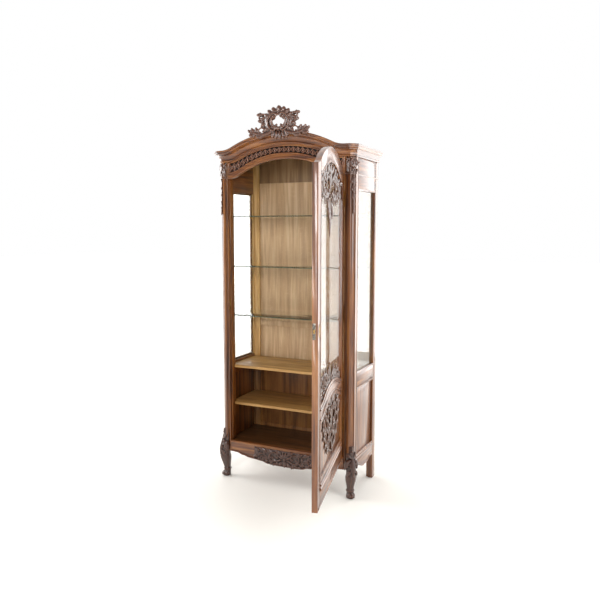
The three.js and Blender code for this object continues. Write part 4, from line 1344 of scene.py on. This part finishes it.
def build_metalwork():
    pin_x, pin_y = 398.4, -7
    knuckle = 45

    def about_pin(u, v, out):
        return at(pin_x + u, pin_y + v, out)

    for name in ("lower", "middle", "upper"):
        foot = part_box(f"hinge_{name}_post_half")[0].z / MM + 7
        ball = [(radius, foot - 7 + height) for radius, height in HINGE_FOOT]
        lower = turned("barrel", about_pin, [*ball, (6, foot + knuckle - 1), (5.4, foot + knuckle)])
        pin = turned("pin", about_pin, [(3, foot + knuckle - 1), (3, foot + 2 * knuckle - 6)], 20)
        leaf_plate = block("leaf_plate", (397.7, -5, foot), (399.7, 18, foot + knuckle - 1), 0.3)
        half = joined(f"hinge_{name}_post_part", [lower, pin, leaf_plate])
        finish(half, bronze, "brass", "carcass", f"hinge_{name}_post_half")
        top = foot + 2 * knuckle
        cap = [(radius, top + height) for radius, height in HINGE_CAP]
        upper = turned("barrel", about_pin, [(5.4, foot + knuckle + 0.3), (6, foot + knuckle + 1.3), *cap])
        edge_plate = block("leaf_plate", (397.1, -3, foot + knuckle + 1), (399.1, 18, top), 0.3)
        half = swung_open(joined(f"hinge_{name}_door_part", [upper, edge_plate]))
        finish(half, bronze, "brass", "door", f"hinge_{name}_door_half")
    finish(planed("escutcheon", 0.5), brass, "brass", "door", "escutcheon")
    finish(planed("lock_case", 0.6), steel, "steel", "door", "lock_case")
    finish(planed("lock_bolt", 0.8), brass, "brass", "bolt", "lock_bolt")
    finish(planed("strike_plate", 0.3), brass, "brass", "carcass", "strike_plate")


# Stage

def build_stage():
    deselect()
    bpy.ops.mesh.primitive_plane_add(size=60)
    floor = added("pale_floor")
    floor.data.materials.append(pale_floor("pale_floor_paint", "#fbf8f1"))
    world = bpy.data.worlds.new("white_room")
    world.use_nodes = True
    tree = world.node_tree
    sky = tree.nodes["Background"]
    sky.inputs["Color"].default_value = linear("#ffffff")
    # White behind the cabinet, and a darker room before it
    way = node(tree, "ShaderNodeTexCoord").outputs["Generated"]
    depth = node(tree, "ShaderNodeSeparateXYZ", {"Vector": way}).outputs["Y"]
    span = {"Value": depth, "From Min": -0.5, "From Max": 0.15, "To Min": 0.35, "To Max": 1.0}
    tree.links.new(node(tree, "ShaderNodeMapRange", span).outputs["Result"], sky.inputs["Strength"])
    bpy.context.scene.world = world
    # Place, where it aims, width, height and power in watts. The tall window shines on the open
    # door's edge. The last two are sheets of bright wall behind the cabinet, which the door's face
    # and the sides mirror.
    lamps = (
        ("window_light_right", (4.4, -1.7, 2.3), (0.2, 0.2, 1.4), 2.0, 2.4, 95),
        ("window_light_left", (-4.4, -0.4, 2.6), (-0.2, 0.2, 1.5), 2.4, 2.0, 130),
        ("front_light", (0.75, -4.6, 2.9), (0.3, 0.0, 1.7), 1.0, 1.3, 72),
        ("tall_window_front", (0.62, -4.9, 1.6), (0.6, -0.8, 1.6), 0.5, 2.2, 38),
        ("bright_wall_right", (2.4, 4.2, 1.9), (2.1, 0.0, 1.9), 3.6, 3.6, 105),
        ("bright_wall_left", (-3.3, 2.9, 1.8), (0.0, 0.0, 1.8), 3.4, 3.2, 66),
    )
    for name, place, aim, width, height, power in lamps:
        light = bpy.data.lights.new(name, "AREA")
        light.shape = "RECTANGLE"
        light.size = width
        light.size_y = height
        light.energy = power
        lamp = bpy.data.objects.new(name, light)
        lamp.location = place
        lamp.rotation_euler = (Vector(aim) - Vector(place)).to_track_quat("-Z", "Y").to_euler()
        lamp.visible_camera = False
        bpy.context.scene.collection.objects.link(lamp)


def build_camera():
    """A standing onlooker's eye, in front of the cabinet and well round to its right."""
    eye = at(1812.6, -3589.7, 1650.6)
    turn, tilt = math.radians(-25.38), math.radians(-6.27)
    ahead = Vector((math.sin(turn) * math.cos(tilt), math.cos(turn) * math.cos(tilt), math.sin(tilt)))
    camera = bpy.data.objects.new("onlooker", bpy.data.cameras.new("onlooker"))
    camera.data.lens = 38.95
    camera.data.sensor_width = 36
    camera.location = eye
    camera.rotation_euler = ahead.to_track_quat("-Z", "Y").to_euler()
    bpy.context.scene.collection.objects.link(camera)
    bpy.context.scene.camera = camera


build_camera()
build_stage()
bpy.context.scene.view_settings.view_transform = "Standard"
build_posts()
build_legs()
build_cornice()
build_frieze()
build_crest()
build_post_carvings()
build_apron()
build_sides()
build_inside()
build_door_frame()
build_door_carvings()
build_metalwork()
